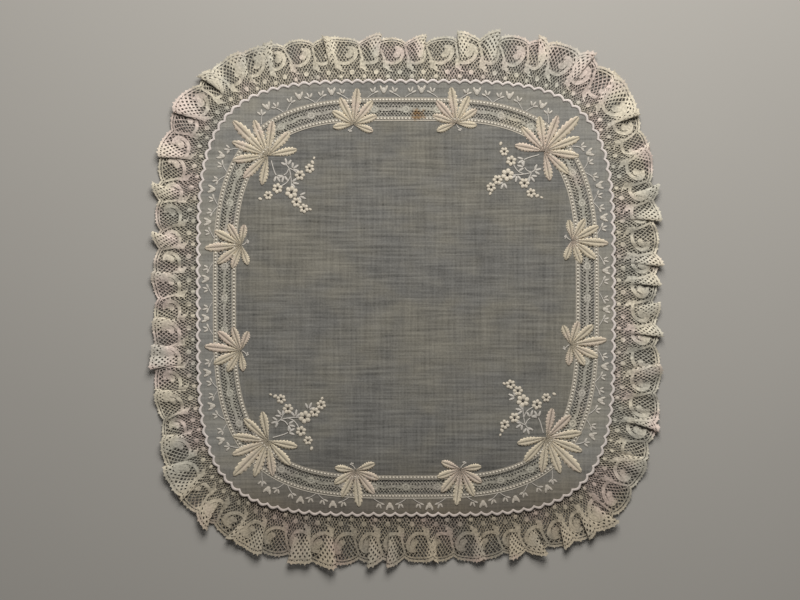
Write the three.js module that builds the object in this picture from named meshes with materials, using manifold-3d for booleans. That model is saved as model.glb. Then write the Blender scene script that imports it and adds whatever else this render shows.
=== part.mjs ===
// A lady's handkerchief of fine linen, laid out flat: a square panel with round corners, a ring of
// lace insertion between two rows of veining, a scalloped border, a gathered lace frill and twelve
// applied leaves. Millimetres, +Z up, origin on the underside below the middle of the panel.
import * as THREE from "three";
import { mergeVertices } from "three/addons/utils/BufferGeometryUtils.js";
import Module from "manifold-3d";

const wasm = await Module();
wasm.setup();

// Sheets
const SHEET = 1.0; // thickness that stands for cloth and lace
const GAP = 0.3; // between neighbouring pieces
const LEAF_GAP = 0.45; // between a leaf and the cloth under it

// Outline of the scalloped edge: half width, half height and squareness of its corners
const EDGE = { halfWidth: 117.7, halfHeight: 122.7, squareness: 4.3 };
const SCALLOPS = 140;
const SCALLOP_DEPTH = 1.5;
const SCALLOP_STEPS = 3;

// The insertion runs round inside the border, on rounder corners than the edge
const BAND = { halfWidth: 102.6, halfHeight: 106.8, squareness: 3.4 };
const INSERTION_WIDTH = 8.0;
const VEINING_WIDTH = 2.3;
const RING_STEPS = 96;

// The border rises towards its edge, because the gathered frill is sewn on behind it
const EDGE_LIFT = 1.6;

// Frill
const FRILL_WIDTH = 26.5; // from the edge to the tips of the lace, on average
const FRILL_TUCK_IN = 1.5; // how far the frill reaches in behind the edge
const FRILL_ARCHES = 72; // lace arches round the frill
const ARCH_DEPTH = 1.8;
const ARCH_POWER = 0.6; // below 1, the arches meet in points
const FOLD_START = 2.0; // distance from the edge where the folds begin
const FOLD_HALF = 1.2; // half of the gathered length that one fold takes up
const FOLD_ROUND = 2.0; // how much longer than that the fold's rise is
const FOLD_FALL = 9.0; // length over which the upper layer sinks back to the floor
const HEIGHT_POWER = 1.2; // the folds' height grows outwards
const OVERLAP_POWER = 1.5; // and their overlap grows later than their height
const FRILL_ROWS = [-FRILL_TUCK_IN, 8, 17, FRILL_WIDTH];
const FOLD_STATIONS = [-1.5, -0.75, 0, 0.75, 1.5]; // columns in a fold, in half lengths

// The frill's folds, clockwise from the middle of the top edge. at: distance along the edge;
// tuck: how far the layers run past the crease; rise: height of the upper layer;
// over: 1 where the stretch after the fold lies on top, -1 where the one before it does;
// slant: how far the crease wanders along the edge on its way in; reach: outer edge of the lace.
const FOLDS = [
  { at: 10.6, tuck: 1.6, rise: 4.5, over: -1, slant: -3.5, reach: 25.8 },
  { at: 30.0, tuck: 1.8, rise: 4.5, over: 1, slant: 0.0, reach: 27.8 },
  { at: 48.8, tuck: 2.7, rise: 5.5, over: -1, slant: 5.0, reach: 28.8 },
  { at: 71.5, tuck: 2.2, rise: 5.0, over: 1, slant: 0.0, reach: 29.3 },
  { at: 91.3, tuck: 2.0, rise: 4.8, over: -1, slant: 2.0, reach: 30.8 },
  { at: 103.3, tuck: 2.4, rise: 5.8, over: 1, slant: 3.0, reach: 30.3 },
  { at: 117.4, tuck: 2.2, rise: 5.2, over: -1, slant: 5.0, reach: 27.3 },
  { at: 133.0, tuck: 2.0, rise: 4.8, over: 1, slant: 3.0, reach: 26.3 },
  { at: 153.5, tuck: 2.6, rise: 5.5, over: 1, slant: 2.8, reach: 26.2 },
  { at: 168.7, tuck: 1.8, rise: 4.5, over: -1, slant: 0.0, reach: 26.7 },
  { at: 192.4, tuck: 2.4, rise: 5.2, over: -1, slant: 5.0, reach: 27.2 },
  { at: 204.5, tuck: 1.8, rise: 4.5, over: -1, slant: 2.0, reach: 26.2 },
  { at: 216.2, tuck: 1.6, rise: 4.5, over: 1, slant: 3.0, reach: 25.7 },
  { at: 232.5, tuck: 2.2, rise: 5.0, over: -1, slant: 3.0, reach: 27.2 },
  { at: 251.6, tuck: 2.9, rise: 5.8, over: 1, slant: 0.0, reach: 27.7 },
  { at: 282.0, tuck: 2.0, rise: 4.8, over: -1, slant: -1.0, reach: 28.8 },
  { at: 298.3, tuck: 2.7, rise: 5.5, over: 1, slant: -3.0, reach: 26.8 },
  { at: 323.5, tuck: 1.9, rise: 4.8, over: 1, slant: 1.5, reach: 29.3 },
  { at: 332.5, tuck: 1.9, rise: 4.8, over: -1, slant: 1.5, reach: 28.3 },
  { at: 343.0, tuck: 1.6, rise: 4.5, over: -1, slant: 0.0, reach: 26.8 },
  { at: 353.5, tuck: 2.2, rise: 5.2, over: 1, slant: 3.0, reach: 26.3 },
  { at: 367.2, tuck: 2.3, rise: 5.0, over: -1, slant: 5.0, reach: 25.8 },
  { at: 383.2, tuck: 2.4, rise: 5.2, over: 1, slant: -1.5, reach: 27.3 },
  { at: 408.7, tuck: 1.8, rise: 4.5, over: 1, slant: 0.0, reach: 27.8 },
  { at: 434.8, tuck: 1.9, rise: 4.8, over: -1, slant: 2.0, reach: 28.8 },
  { at: 445.5, tuck: 2.0, rise: 5.0, over: -1, slant: 3.3, reach: 28.8 },
  { at: 466.4, tuck: 2.8, rise: 5.8, over: 1, slant: -2.0, reach: 30.3 },
  { at: 477.9, tuck: 1.9, rise: 4.8, over: 1, slant: 1.0, reach: 28.8 },
  { at: 487.2, tuck: 1.6, rise: 4.5, over: -1, slant: 0.0, reach: 28.8 },
  { at: 501.8, tuck: 1.9, rise: 4.8, over: 1, slant: 0.0, reach: 27.8 },
  { at: 514.6, tuck: 2.0, rise: 5.0, over: -1, slant: -3.5, reach: 26.8 },
  { at: 525.6, tuck: 2.3, rise: 5.5, over: 1, slant: 2.0, reach: 27.3 },
  { at: 538.2, tuck: 1.8, rise: 4.5, over: 1, slant: -1.0, reach: 28.8 },
  { at: 550.3, tuck: 1.8, rise: 4.8, over: -1, slant: 1.7, reach: 28.3 },
  { at: 562.7, tuck: 2.5, rise: 5.5, over: -1, slant: 4.0, reach: 24.8 },
  { at: 586.7, tuck: 1.8, rise: 4.5, over: -1, slant: 0.0, reach: 26.3 },
  { at: 600.4, tuck: 2.2, rise: 5.2, over: 1, slant: -1.0, reach: 26.8 },
  { at: 611.0, tuck: 1.9, rise: 4.8, over: -1, slant: -1.0, reach: 26.3 },
  { at: 626.0, tuck: 2.2, rise: 5.0, over: -1, slant: 2.0, reach: 26.3 },
  { at: 652.3, tuck: 1.9, rise: 4.8, over: -1, slant: 0.0, reach: 26.8 },
  { at: 672.8, tuck: 2.4, rise: 5.2, over: -1, slant: -1.5, reach: 25.3 },
  { at: 699.0, tuck: 1.9, rise: 4.8, over: -1, slant: -3.0, reach: 26.8 },
  { at: 715.2, tuck: 2.5, rise: 5.2, over: 1, slant: -4.0, reach: 26.8 },
  { at: 735.0, tuck: 2.7, rise: 5.5, over: 1, slant: -3.5, reach: 28.3 },
  { at: 750.6, tuck: 2.6, rise: 5.5, over: 1, slant: 0.7, reach: 26.8 },
  { at: 765.8, tuck: 2.5, rise: 5.5, over: -1, slant: 1.4, reach: 26.3 },
  { at: 778.2, tuck: 2.4, rise: 5.2, over: -1, slant: 3.0, reach: 26.8 },
  { at: 807.5, tuck: 2.9, rise: 5.8, over: 1, slant: 0.0, reach: 26.3 },
  { at: 834.8, tuck: 2.5, rise: 5.2, over: -1, slant: 2.8, reach: 26.3 },
];

// Leaves: turn of each leaflet from the leaf's own axis, its length and width. Pairs are mirrored.
const CORNER_LEAFLETS = [
  { turn: 0, length: 27.5, width: 6.2 },
  { turn: 24, length: 21.5, width: 5.2 },
  { turn: 53, length: 20.0, width: 5.2 },
  { turn: 88, length: 18.7, width: 5.2 },
  { turn: 124, length: 17.0, width: 5.0 },
];
const SIDE_LEAFLETS = [
  { turn: 0, length: 20.5, width: 5.4 },
  { turn: 33, length: 17.0, width: 5.0 },
  { turn: 64, length: 14.1, width: 4.6 },
  { turn: 104, length: 11.8, width: 4.4 },
];
const LEAF_HUB = { radius: 3.2, height: 0.8, sides: 10 }; // disc where the leaflets join
const LEAFLET_NECK = 3.6; // distance from the leaf's centre to a leaflet's narrow neck
const LEAF_CREST = 1.0; // height of the padded halves
const LEAF_VEIN = 0.6; // height along the vein between them

// Centre of each leaf, and the direction that it points in, in degrees from +X
const CORNER_LEAVES = [
  { name: "corner_leaf_1", x: -78.2, y: 80.6, points: 135 },
  { name: "corner_leaf_2", x: 78.2, y: 83.0, points: 45 },
  { name: "corner_leaf_3", x: 79.6, y: -79.0, points: -45 },
  { name: "corner_leaf_4", x: -78.0, y: -80.9, points: -135 },
];
const SIDE_LEAVES = [
  { name: "side_leaf_1", x: -29.6, y: 98.2, points: 84 },
  { name: "side_leaf_2", x: 28.4, y: 98.8, points: 98 },
  { name: "side_leaf_3", x: 94.0, y: 32.6, points: -5 },
  { name: "side_leaf_4", x: 93.2, y: -26.4, points: 8 },
  { name: "side_leaf_5", x: 31.0, y: -96.8, points: -97 },
  { name: "side_leaf_6", x: -28.6, y: -97.6, points: -84 },
  { name: "side_leaf_7", x: -93.4, y: -29.8, points: 173 },
  { name: "side_leaf_8", x: -93.2, y: 29.9, points: 185 },
];

const COLOURS = { linen: 0x75736c, lace: 0xcfc4ad, veining: 0xd9cfbd, leaf: 0xdccfb6 };

// A square with bowed sides and round corners, clockwise from the middle of its top
class RoundedSquare extends THREE.Curve {
  constructor({ halfWidth, halfHeight, squareness }) {
    super();
    Object.assign(this, { halfWidth, halfHeight, squareness, arcLengthDivisions: 2000 });
  }

  radius(angle) {
    const across = Math.abs(Math.cos(angle) / this.halfWidth) ** this.squareness;
    const along = Math.abs(Math.sin(angle) / this.halfHeight) ** this.squareness;
    return (across + along) ** (-1 / this.squareness);
  }

  getPoint(share, target = new THREE.Vector3()) {
    const angle = Math.PI / 2 - 2 * Math.PI * share;
    const radius = this.radius(angle);
    return target.set(radius * Math.cos(angle), radius * Math.sin(angle), 0);
  }

  // The point at a share of the way round, moved outwards by a distance
  offsetPoint(share, out) {
    const turn = ((share % 1) + 1) % 1;
    const point = this.getPointAt(turn);
    const tangent = this.getTangentAt(turn);
    return point.add(new THREE.Vector3(-tangent.y, tangent.x, 0).multiplyScalar(out));
  }
}

const edgeLine = new RoundedSquare(EDGE);
const bandLine = new RoundedSquare(BAND);
const edgeLength = edgeLine.getLength();

// Offsets of the rings from the middle of the insertion
const veiningInner = INSERTION_WIDTH / 2 + GAP;
const veiningOuter = veiningInner + VEINING_WIDTH;
const clothOffset = veiningOuter + GAP;

function smooth(value) {
  const x = Math.min(1, Math.max(0, value));
  return x * x * (3 - 2 * x);
}

// How far the cloth is lifted at a place: nothing inside the veining, all of it at the edge
function clothLift(x, y) {
  const angle = Math.atan2(y, x);
  const inner = bandLine.radius(angle) + clothOffset;
  const outer = edgeLine.radius(angle);
  return EDGE_LIFT * Math.max(0, (Math.hypot(x, y) - inner) / (outer - inner));
}

// A closed ring of sheet: a grid whose columns run clockwise and whose section runs out along the
// top and back along the underside. Both faces are split along the same diagonals.
function ringSolid(columns, section, place) {
  const rows = section.length;
  const points = [];
  const index = [];
  for (let j = 0; j < rows; j++) {
    for (let i = 0; i < columns; i++) {
      points.push(place(i, section[j]));
      const here = j * columns;
      const next = ((j + 1) % rows) * columns;
      const on = (i + 1) % columns;
      const corners = [here + i, next + i, next + on, here + on];
      if (j >= rows / 2) corners.push(corners.shift());
      const [a, b, c, d] = corners;
      index.push(a, c, b, a, d, c);
    }
  }
  return new THREE.BufferGeometry().setFromPoints(points).setIndex(index);
}

// A flat ring that follows the insertion, between two offsets from its middle
function bandRing(inner, outer) {
  const section = [
    { out: inner, z: SHEET },
    { out: outer, z: SHEET },
    { out: outer, z: 0 },
    { out: inner, z: 0 },
  ];
  return ringSolid(RING_STEPS, section, (column, { out, z }) =>
    bandLine.offsetPoint(column / RING_STEPS, out).setZ(z),
  );
}

function centrePanel() {
  const outline = Array.from({ length: RING_STEPS }, (_, i) => {
    const point = bandLine.offsetPoint(i / RING_STEPS, -clothOffset);
    return new THREE.Vector2(point.x, point.y);
  });
  const settings = { depth: SHEET, bevelEnabled: false };
  return new THREE.ExtrudeGeometry(new THREE.Shape(outline), settings);
}

// The border rises from the veining to its outer outline, round lobes that meet in points
function scallopedBorder() {
  const columns = SCALLOPS * SCALLOP_STEPS;
  const section = [
    { atEdge: false, z: SHEET },
    { atEdge: true, z: SHEET },
    { atEdge: true, z: 0 },
    { atEdge: false, z: 0 },
  ];
  return ringSolid(columns, section, (column, { atEdge, z }) => {
    const share = column / columns;
    if (!atEdge) return bandLine.offsetPoint(share, clothOffset).setZ(z);
    const lobe = Math.sin((Math.PI * (column % SCALLOP_STEPS)) / SCALLOP_STEPS);
    const point = edgeLine.offsetPoint(share, SCALLOP_DEPTH * (lobe - 0.5));
    return point.setZ(z + clothLift(point.x, point.y));
  });
}

// The stretch of frill round a gathered place along the edge: the fold before it and the one after
function foldsAround(place) {
  const after = FOLDS.findIndex((fold) => fold.at > place);
  if (after > 0) return { before: FOLDS[after - 1], after: FOLDS[after] };
  const last = FOLDS[FOLDS.length - 1];
  if (after === 0) return { before: { ...last, at: last.at - edgeLength }, after: FOLDS[0] };
  return { before: last, after: { ...FOLDS[0], at: FOLDS[0].at + edgeLength } };
}

// Shift of the lace along the edge: it runs past one fold's crease and starts behind the next one's
function foldShift(place) {
  const { before, after } = foldsAround(place);
  const past = (place - before.at) / FOLD_HALF;
  const ahead = (after.at - place) / FOLD_HALF;
  if (past < 1) return -before.tuck * Math.sin((Math.PI / 2) * past);
  if (ahead < 1) return after.tuck * Math.sin((Math.PI / 2) * ahead);
  const share = (past - 1) / (past + ahead - 2);
  return THREE.MathUtils.lerp(-before.tuck, after.tuck, share);
}

// Height that one fold gives to the lace at a distance along the edge from its crease
function foldRise(fold, distance) {
  const side = fold.over * distance;
  const climb = smooth(0.5 + side / (2 * FOLD_HALF * FOLD_ROUND));
  const fall = 1 - smooth((side - FOLD_HALF) / FOLD_FALL);
  return fold.rise * climb * fall;
}

function foldHeight(place) {
  const { before, after } = foldsAround(place);
  return Math.max(foldRise(before, place - before.at), foldRise(after, place - after.at));
}

function between(place, key) {
  const { before, after } = foldsAround(place);
  return THREE.MathUtils.lerp(
    before[key],
    after[key],
    smooth((place - before.at) / (after.at - before.at)),
  );
}

// The middle of the lace at a gathered place along the edge and a distance out from it
function frillMiddle(place, out) {
  const turn = ((place % edgeLength) + edgeLength) % edgeLength;
  const share = Math.max(0, out / FRILL_WIDTH);
  const height = Math.max(0, (out - FOLD_START) / (FRILL_WIDTH - FOLD_START)) ** HEIGHT_POWER;
  const overlap = height ** OVERLAP_POWER;
  const slant = between(turn, "slant") * (1 - share) * height;
  const along = turn + overlap * foldShift(turn) + slant;
  const stretch = THREE.MathUtils.lerp(1, between(turn, "reach") / FRILL_WIDTH, smooth(share));
  const point = edgeLine.offsetPoint(along / edgeLength, out * stretch);
  return point.setZ(SHEET / 2 + height * foldHeight(turn));
}

// The frill's columns: close together in the folds, and at the top and foot of each arch between them
function frillStations() {
  const half = edgeLength / FRILL_ARCHES / 2;
  const inFolds = FOLDS.flatMap((fold) => FOLD_STATIONS.map((at) => fold.at + at * FOLD_HALF));
  const arches = Array.from({ length: 2 * FRILL_ARCHES }, (_, i) => i * half);
  const clear = (place) => inFolds.every((other) => Math.abs(other - place) > FOLD_HALF);
  return [...inFolds, ...arches.filter(clear)].sort((a, b) => a - b);
}

function laceFrill() {
  const stations = frillStations();
  const top = FRILL_ROWS.map((out) => ({ out, side: 1 }));
  const underside = FRILL_ROWS.toReversed().map((out) => ({ out, side: -1 }));
  const step = 0.05;
  return ringSolid(stations.length, [...top, ...underside], (column, { out: row, side }) => {
    const place = stations[column];
    const wave = Math.sin((Math.PI * FRILL_ARCHES * place) / edgeLength);
    const arch = Math.abs(wave) ** ARCH_POWER;
    const out = row < FRILL_WIDTH ? row : row - ARCH_DEPTH * (1 - arch);
    const middle = frillMiddle(place, out);
    const along = frillMiddle(place + step, out).sub(frillMiddle(place - step, out));
    const outwards = frillMiddle(place, out + step).sub(frillMiddle(place, out - step));
    const normal = along.cross(outwards).normalize();
    return middle.addScaledVector(normal, (side * SHEET) / 2);
  });
}

function toSolid(geometry) {
  geometry.deleteAttribute("normal");
  geometry.deleteAttribute("uv");
  const merged = mergeVertices(geometry, 1e-4);
  return new wasm.Manifold(
    new wasm.Mesh({
      numProp: 3,
      vertProperties: new Float32Array(merged.getAttribute("position").array),
      triVerts: new Uint32Array(merged.index.array),
    }),
  );
}

function toGeometry(solid) {
  const mesh = solid.getMesh();
  return new THREE.BufferGeometry()
    .setAttribute("position", new THREE.BufferAttribute(mesh.vertProperties, 3))
    .setIndex(new THREE.BufferAttribute(mesh.triVerts, 1));
}

// A padded leaflet along +Y with its base at the origin: a sphere grid whose columns run over the
// right edge, the right half, the vein, the left half and the left edge, and back underneath
function leaflet({ length, width }) {
  const across = [
    { x: 1, z: 0 },
    { x: 0.5, z: LEAF_CREST },
    { x: 0, z: LEAF_VEIN },
    { x: -0.5, z: LEAF_CREST },
    { x: -1, z: 0 },
  ];
  const along = [
    { y: 0, wide: 0 },
    { y: LEAFLET_NECK, wide: 0.22 },
    { y: 0.52 * length, wide: 0.95 },
    { y: 0.8 * length, wide: 0.85 },
    { y: length, wide: 0 },
  ];
  const geometry = new THREE.SphereGeometry(1, across.length, along.length - 1);
  const position = geometry.getAttribute("position");
  along.forEach(({ y, wide }, row) => {
    for (let column = 0; column <= across.length; column++) {
      const { x, z } = across[column % across.length];
      const index = row * (across.length + 1) + column;
      position.setXYZ(index, (x * wide * width) / 2, y, wide ? z : LEAF_HUB.height / 2);
    }
  });
  return geometry;
}

// All the leaflets of a leaf on their hub, with the leaf's axis along +Y
function leafSolid(leaflets) {
  const { radius, height, sides } = LEAF_HUB;
  const hub = new THREE.CylinderGeometry(radius, radius, height, sides);
  hub.rotateX(Math.PI / 2).translate(0, 0, height / 2);
  let solid = toSolid(hub);
  for (const row of leaflets) {
    for (const turn of row.turn ? [row.turn, -row.turn] : [0]) {
      const geometry = leaflet(row).rotateZ(THREE.MathUtils.degToRad(turn));
      solid = solid.add(toSolid(geometry));
    }
  }
  return toGeometry(solid);
}

// A leaf in its place, bent to lie along the rise of the border
function leafMesh({ name, x, y, points }, leaflets) {
  const geometry = leafSolid(leaflets);
  const turn = THREE.MathUtils.degToRad(points - 90);
  const axis = new THREE.Vector3(0, 0, 1);
  const position = geometry.getAttribute("position");
  const vertex = new THREE.Vector3();
  for (let i = 0; i < position.count; i++) {
    vertex.fromBufferAttribute(position, i).applyAxisAngle(axis, turn);
    position.setZ(i, position.getZ(i) + clothLift(x + vertex.x, y + vertex.y));
  }
  const mesh = makeMesh(name, geometry, COLOURS.leaf, 0.75);
  mesh.position.set(x, y, SHEET + LEAF_GAP);
  mesh.rotation.z = turn;
  return mesh;
}

function makeMesh(name, geometry, color, roughness) {
  const material = new THREE.MeshStandardMaterial({ color, roughness, metalness: 0 });
  const mesh = new THREE.Mesh(geometry, material);
  mesh.name = name;
  return mesh;
}

const handkerchief = new THREE.Group();
handkerchief.add(
  makeMesh("centre_panel", centrePanel(), COLOURS.linen, 0.85),
  makeMesh("inner_veining", bandRing(-veiningOuter, -veiningInner), COLOURS.veining, 0.8),
  makeMesh(
    "lace_insertion",
    bandRing(-INSERTION_WIDTH / 2, INSERTION_WIDTH / 2),
    COLOURS.lace,
    0.85,
  ),
  makeMesh("outer_veining", bandRing(veiningInner, veiningOuter), COLOURS.veining, 0.8),
  makeMesh("scalloped_border", scallopedBorder(), COLOURS.linen, 0.85),
  makeMesh("lace_frill", laceFrill(), COLOURS.lace, 0.85),
  ...CORNER_LEAVES.map((leaf) => leafMesh(leaf, CORNER_LEAFLETS)),
  ...SIDE_LEAVES.map((leaf) => leafMesh(leaf, SIDE_LEAFLETS)),
);

export default handkerchief;
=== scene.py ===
"""A lady's handkerchief of sheer linen with a gathered lace frill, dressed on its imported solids."""

import math

import bmesh
import bpy
import numpy as np
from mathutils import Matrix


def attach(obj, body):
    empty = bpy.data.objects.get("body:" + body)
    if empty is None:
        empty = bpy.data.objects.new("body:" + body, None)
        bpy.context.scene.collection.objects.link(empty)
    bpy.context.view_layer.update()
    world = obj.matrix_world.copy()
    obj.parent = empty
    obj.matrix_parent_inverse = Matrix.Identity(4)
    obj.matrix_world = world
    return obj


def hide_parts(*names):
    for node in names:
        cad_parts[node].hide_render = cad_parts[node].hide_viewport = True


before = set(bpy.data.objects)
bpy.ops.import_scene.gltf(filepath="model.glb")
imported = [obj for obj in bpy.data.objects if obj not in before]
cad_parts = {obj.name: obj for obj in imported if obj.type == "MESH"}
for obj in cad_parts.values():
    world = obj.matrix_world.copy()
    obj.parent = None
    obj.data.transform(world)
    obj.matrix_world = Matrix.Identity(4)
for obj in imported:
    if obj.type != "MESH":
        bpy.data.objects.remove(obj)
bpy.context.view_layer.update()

bl_info = {
    "name": "Linen Handkerchief",
    "version": (1, 0, 0),
    "blender": (4, 5, 0),
    "location": "View3D > Sidebar > Handkerchief",
    "description": "Linen, veining, insertion, frill, leaves and stitching of a lace handkerchief",
    "category": "Object",
}

# Everything below is worked out in millimetres and turned into metres when a mesh is made
MM = 0.001
TINY = 1e-9  # keeps divisions clear of zero

# Heights above the floor
LINEN_HEIGHT = 1.0
INSERTION_HEIGHT = 0.9
VEINING_HEIGHT = 1.12
EDGE_LIFT = 1.6  # how much higher the border lies at its edge, where the frill is sewn on behind it

# Faint waves of the linen: their height, their lengths across, up and on the slant, and their bends
RIPPLE_HEIGHT = 0.12
RIPPLE_ACROSS = 17.0
RIPPLE_UP = 23.0
RIPPLE_UP_START = 0.7
RIPPLE_SLANT = 29.0
RIPPLE_SLANT_SHARE = 0.5
RIPPLE_BEND = 31.0
RIPPLE_BENDING = 1.3

# Offsets of the rings from the middle of the insertion
NET_HALF = 4.1
HEADING_OUTER = 5.0
VEINING_INNER = 4.3
VEINING_OUTER = 6.6
BEAD_OFFSET = 5.3
LINEN_START = 6.1
CLOTH_OFFSET = 6.9

# Scallops of the border's edge
SCALLOPS = 140
SCALLOP_DEPTH = 1.5

# The frill: its lace lies flat as a strip of repeats, and is gathered to the edge's length
REPEATS = 72
REPEAT = 17.0
LACE_WIDTH = 28.0
LACE_LENGTH = REPEATS * REPEAT
ARCH_DEPTH = 3.2
ARCH_POWER = 0.6  # below 1, the arches meet in points
FRILL_TUCK_IN = 1.5  # how far the lace reaches in behind the edge
FRILL_WIDTH = LACE_WIDTH - FRILL_TUCK_IN
FRILL_FLOOR = 1.0  # height at which the lace lies between its folds
SPREAD_OUT = 20.0  # the lace is spread evenly on a line this far out, so it is fuller at the corners
SPREAD_POINTS = 2001
SEAM_LIFT = 1.0  # how much higher the lace lies at its sewn edge, under the border
SEAM_REACH = 9.0
PICOT_ROOM = 1.2  # left for the picots inside the frill's reach
SLOPE_STEP = 0.05  # distance over which the slope of the lace is measured

# Shape that all folds of the frill share
FOLD_START = 2.0  # distance from the edge where they begin
FOLD_HALF = 1.2  # half of the gathered length that one fold takes up
FOLD_ROUND = 2.0  # how much longer than that the fold's rise is
FOLD_FALL = 9.0  # length over which the upper layer sinks back
FOLD_SLACK = 0.75  # share of its rise that a fold keeps in the thin lace
FOLD_TIP = 0.6  # how much further out a fold's upper layer reaches, to each millimetre of its rise
FOLD_TIP_FROM = 1.0  # rise at which it reaches as far as the lace beside it
HEIGHT_POWER = 1.2  # the height grows outwards
OVERLAP_POWER = 1.5  # and the overlap grows later than the height
TUCK_GAIN = 1.5  # the thin lace overlaps further in its folds than the solid sheet can
PLEAT_FROM = 0.7  # height from which the lace of a fold shows as doubled
PLEAT_BLEND = 1.1

# Soft waves round the frill, beside its folds, and small gathers of two sizes along the edge.
# Both crowd and spread a few times on the way round.
RUFFLES = 101
RUFFLE_CROWDS = 9
RUFFLE_CROWDING = 2.2
RUFFLE_HEIGHT = 1.2
RUFFLE_REACH = 13.0
GATHERS = (311, 197)
GATHER_CROWDS = 7
GATHER_START = 3.0
GATHER_REACH = 13.0
GATHER_SHIFT = 0.2
GATHER_HEIGHT = 0.45

# The frill's folds, clockwise from the middle of the top edge. at: distance along the edge;
# tuck: how far the layers run past the crease; rise: height of the upper layer;
# over: 1 where the stretch after the fold lies on top, -1 where the one before it does;
# slant: how far the crease wanders along the edge on its way in; reach: outer edge of the lace.
FOLD_COLUMNS = ("at", "tuck", "rise", "over", "slant", "reach")
FOLDS = np.array(
    [
        (10.6, 1.6, 4.5, -1, -3.5, 25.8),
        (30.0, 1.8, 4.5, 1, 0.0, 27.8),
        (48.8, 2.7, 5.5, -1, 5.0, 28.8),
        (71.5, 2.2, 5.0, 1, 0.0, 29.3),
        (91.3, 2.0, 4.8, -1, 2.0, 30.8),
        (103.3, 2.4, 5.8, 1, 3.0, 30.3),
        (117.4, 2.2, 5.2, -1, 5.0, 27.3),
        (133.0, 2.0, 4.8, 1, 3.0, 26.3),
        (153.5, 2.6, 5.5, 1, 2.8, 26.2),
        (168.7, 1.8, 4.5, -1, 0.0, 26.7),
        (192.4, 2.4, 5.2, -1, 5.0, 27.2),
        (204.5, 1.8, 4.5, -1, 2.0, 26.2),
        (216.2, 1.6, 4.5, 1, 3.0, 25.7),
        (232.5, 2.2, 5.0, -1, 3.0, 27.2),
        (251.6, 2.9, 5.8, 1, 0.0, 27.7),
        (282.0, 2.0, 4.8, -1, -1.0, 28.8),
        (298.3, 2.7, 5.5, 1, -3.0, 26.8),
        (323.5, 1.9, 4.8, 1, 1.5, 29.3),
        (332.5, 1.9, 4.8, -1, 1.5, 28.3),
        (343.0, 1.6, 4.5, -1, 0.0, 26.8),
        (353.5, 2.2, 5.2, 1, 3.0, 26.3),
        (367.2, 2.3, 5.0, -1, 5.0, 25.8),
        (383.2, 2.4, 5.2, 1, -1.5, 27.3),
        (408.7, 1.8, 4.5, 1, 0.0, 27.8),
        (434.8, 1.9, 4.8, -1, 2.0, 28.8),
        (445.5, 2.0, 5.0, -1, 3.3, 28.8),
        (466.4, 2.8, 5.8, 1, -2.0, 30.3),
        (477.9, 1.9, 4.8, 1, 1.0, 28.8),
        (487.2, 1.6, 4.5, -1, 0.0, 28.8),
        (501.8, 1.9, 4.8, 1, 0.0, 27.8),
        (514.6, 2.0, 5.0, -1, -3.5, 26.8),
        (525.6, 2.3, 5.5, 1, 2.0, 27.3),
        (538.2, 1.8, 4.5, 1, -1.0, 28.8),
        (550.3, 1.8, 4.8, -1, 1.7, 28.3),
        (562.7, 2.5, 5.5, -1, 4.0, 24.8),
        (586.7, 1.8, 4.5, -1, 0.0, 26.3),
        (600.4, 2.2, 5.2, 1, -1.0, 26.8),
        (611.0, 1.9, 4.8, -1, -1.0, 26.3),
        (626.0, 2.2, 5.0, -1, 2.0, 26.3),
        (652.3, 1.9, 4.8, -1, 0.0, 26.8),
        (672.8, 2.4, 5.2, -1, -1.5, 25.3),
        (699.0, 1.9, 4.8, -1, -3.0, 26.8),
        (715.2, 2.5, 5.2, 1, -4.0, 26.8),
        (735.0, 2.7, 5.5, 1, -3.5, 28.3),
        (750.6, 2.6, 5.5, 1, 0.7, 26.8),
        (765.8, 2.5, 5.5, -1, 1.4, 26.3),
        (778.2, 2.4, 5.2, -1, 3.0, 26.8),
        (807.5, 2.9, 5.8, 1, 0.0, 26.3),
        (834.8, 2.5, 5.2, -1, 2.8, 26.3),
    ],
    dtype=[(column, float) for column in FOLD_COLUMNS],
)

# Leaflets: turn from the leaf's own axis in degrees, length and width. Pairs are mirrored.
CORNER_LEAFLETS = ((0, 27.5, 6.2), (24, 21.5, 5.2), (53, 20.0, 5.2), (88, 18.7, 5.2), (124, 17.0, 5.0))
SIDE_LEAFLETS = ((0, 20.5, 5.4), (33, 17.0, 5.0), (64, 14.1, 4.6), (104, 11.8, 4.4))

# Centre of each leaf, and the direction that it points in, in degrees from +X
CORNER_LEAVES = {
    "corner_leaf_1": (-78.2, 80.6, 135),
    "corner_leaf_2": (78.2, 83.0, 45),
    "corner_leaf_3": (79.6, -79.0, -45),
    "corner_leaf_4": (-78.0, -80.9, -135),
}
SIDE_LEAVES = {
    "side_leaf_1": (-29.6, 98.2, 84),
    "side_leaf_2": (28.4, 98.8, 98),
    "side_leaf_3": (94.0, 32.6, -5),
    "side_leaf_4": (93.2, -26.4, 8),
    "side_leaf_5": (31.0, -96.8, -97),
    "side_leaf_6": (-28.6, -97.6, -84),
    "side_leaf_7": (-93.4, -29.8, 173),
    "side_leaf_8": (-93.2, 29.9, 185),
}

# Marks of age and painted shade: where the cloth begins to turn browner and darker towards the bottom
# edge and where it is fully so, up from its middle, and the rust mark. The browning is age; the darkening
# is painted shade of light falling off towards the bottom.
BROWN_SHADE_FROM = -75.0
BROWN_SHADE_TO = -140.0
RUST_PLACE = (6.8, 103.6)
RUST_HALF = (4.2, 4.4)
RUST_RAGGEDNESS = 3.0
RUST_STRENGTH = 0.8


def srgb(red, green, blue):
    """A colour given in display values from 0 to 255, as the linear values that shaders take."""
    return tuple(((value / 255 + 0.055) / 1.055) ** 2.4 for value in (red, green, blue))


def size(name, description, default):
    """A length in metres whose default is given in millimetres."""
    return bpy.props.FloatProperty(
        name=name, description=description, default=default * MM, min=0.0, unit="LENGTH"
    )


def colour(name, description, *display):
    return bpy.props.FloatVectorProperty(
        name=name, description=description, subtype="COLOR", default=srgb(*display), min=0.0, max=1.0
    )


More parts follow.
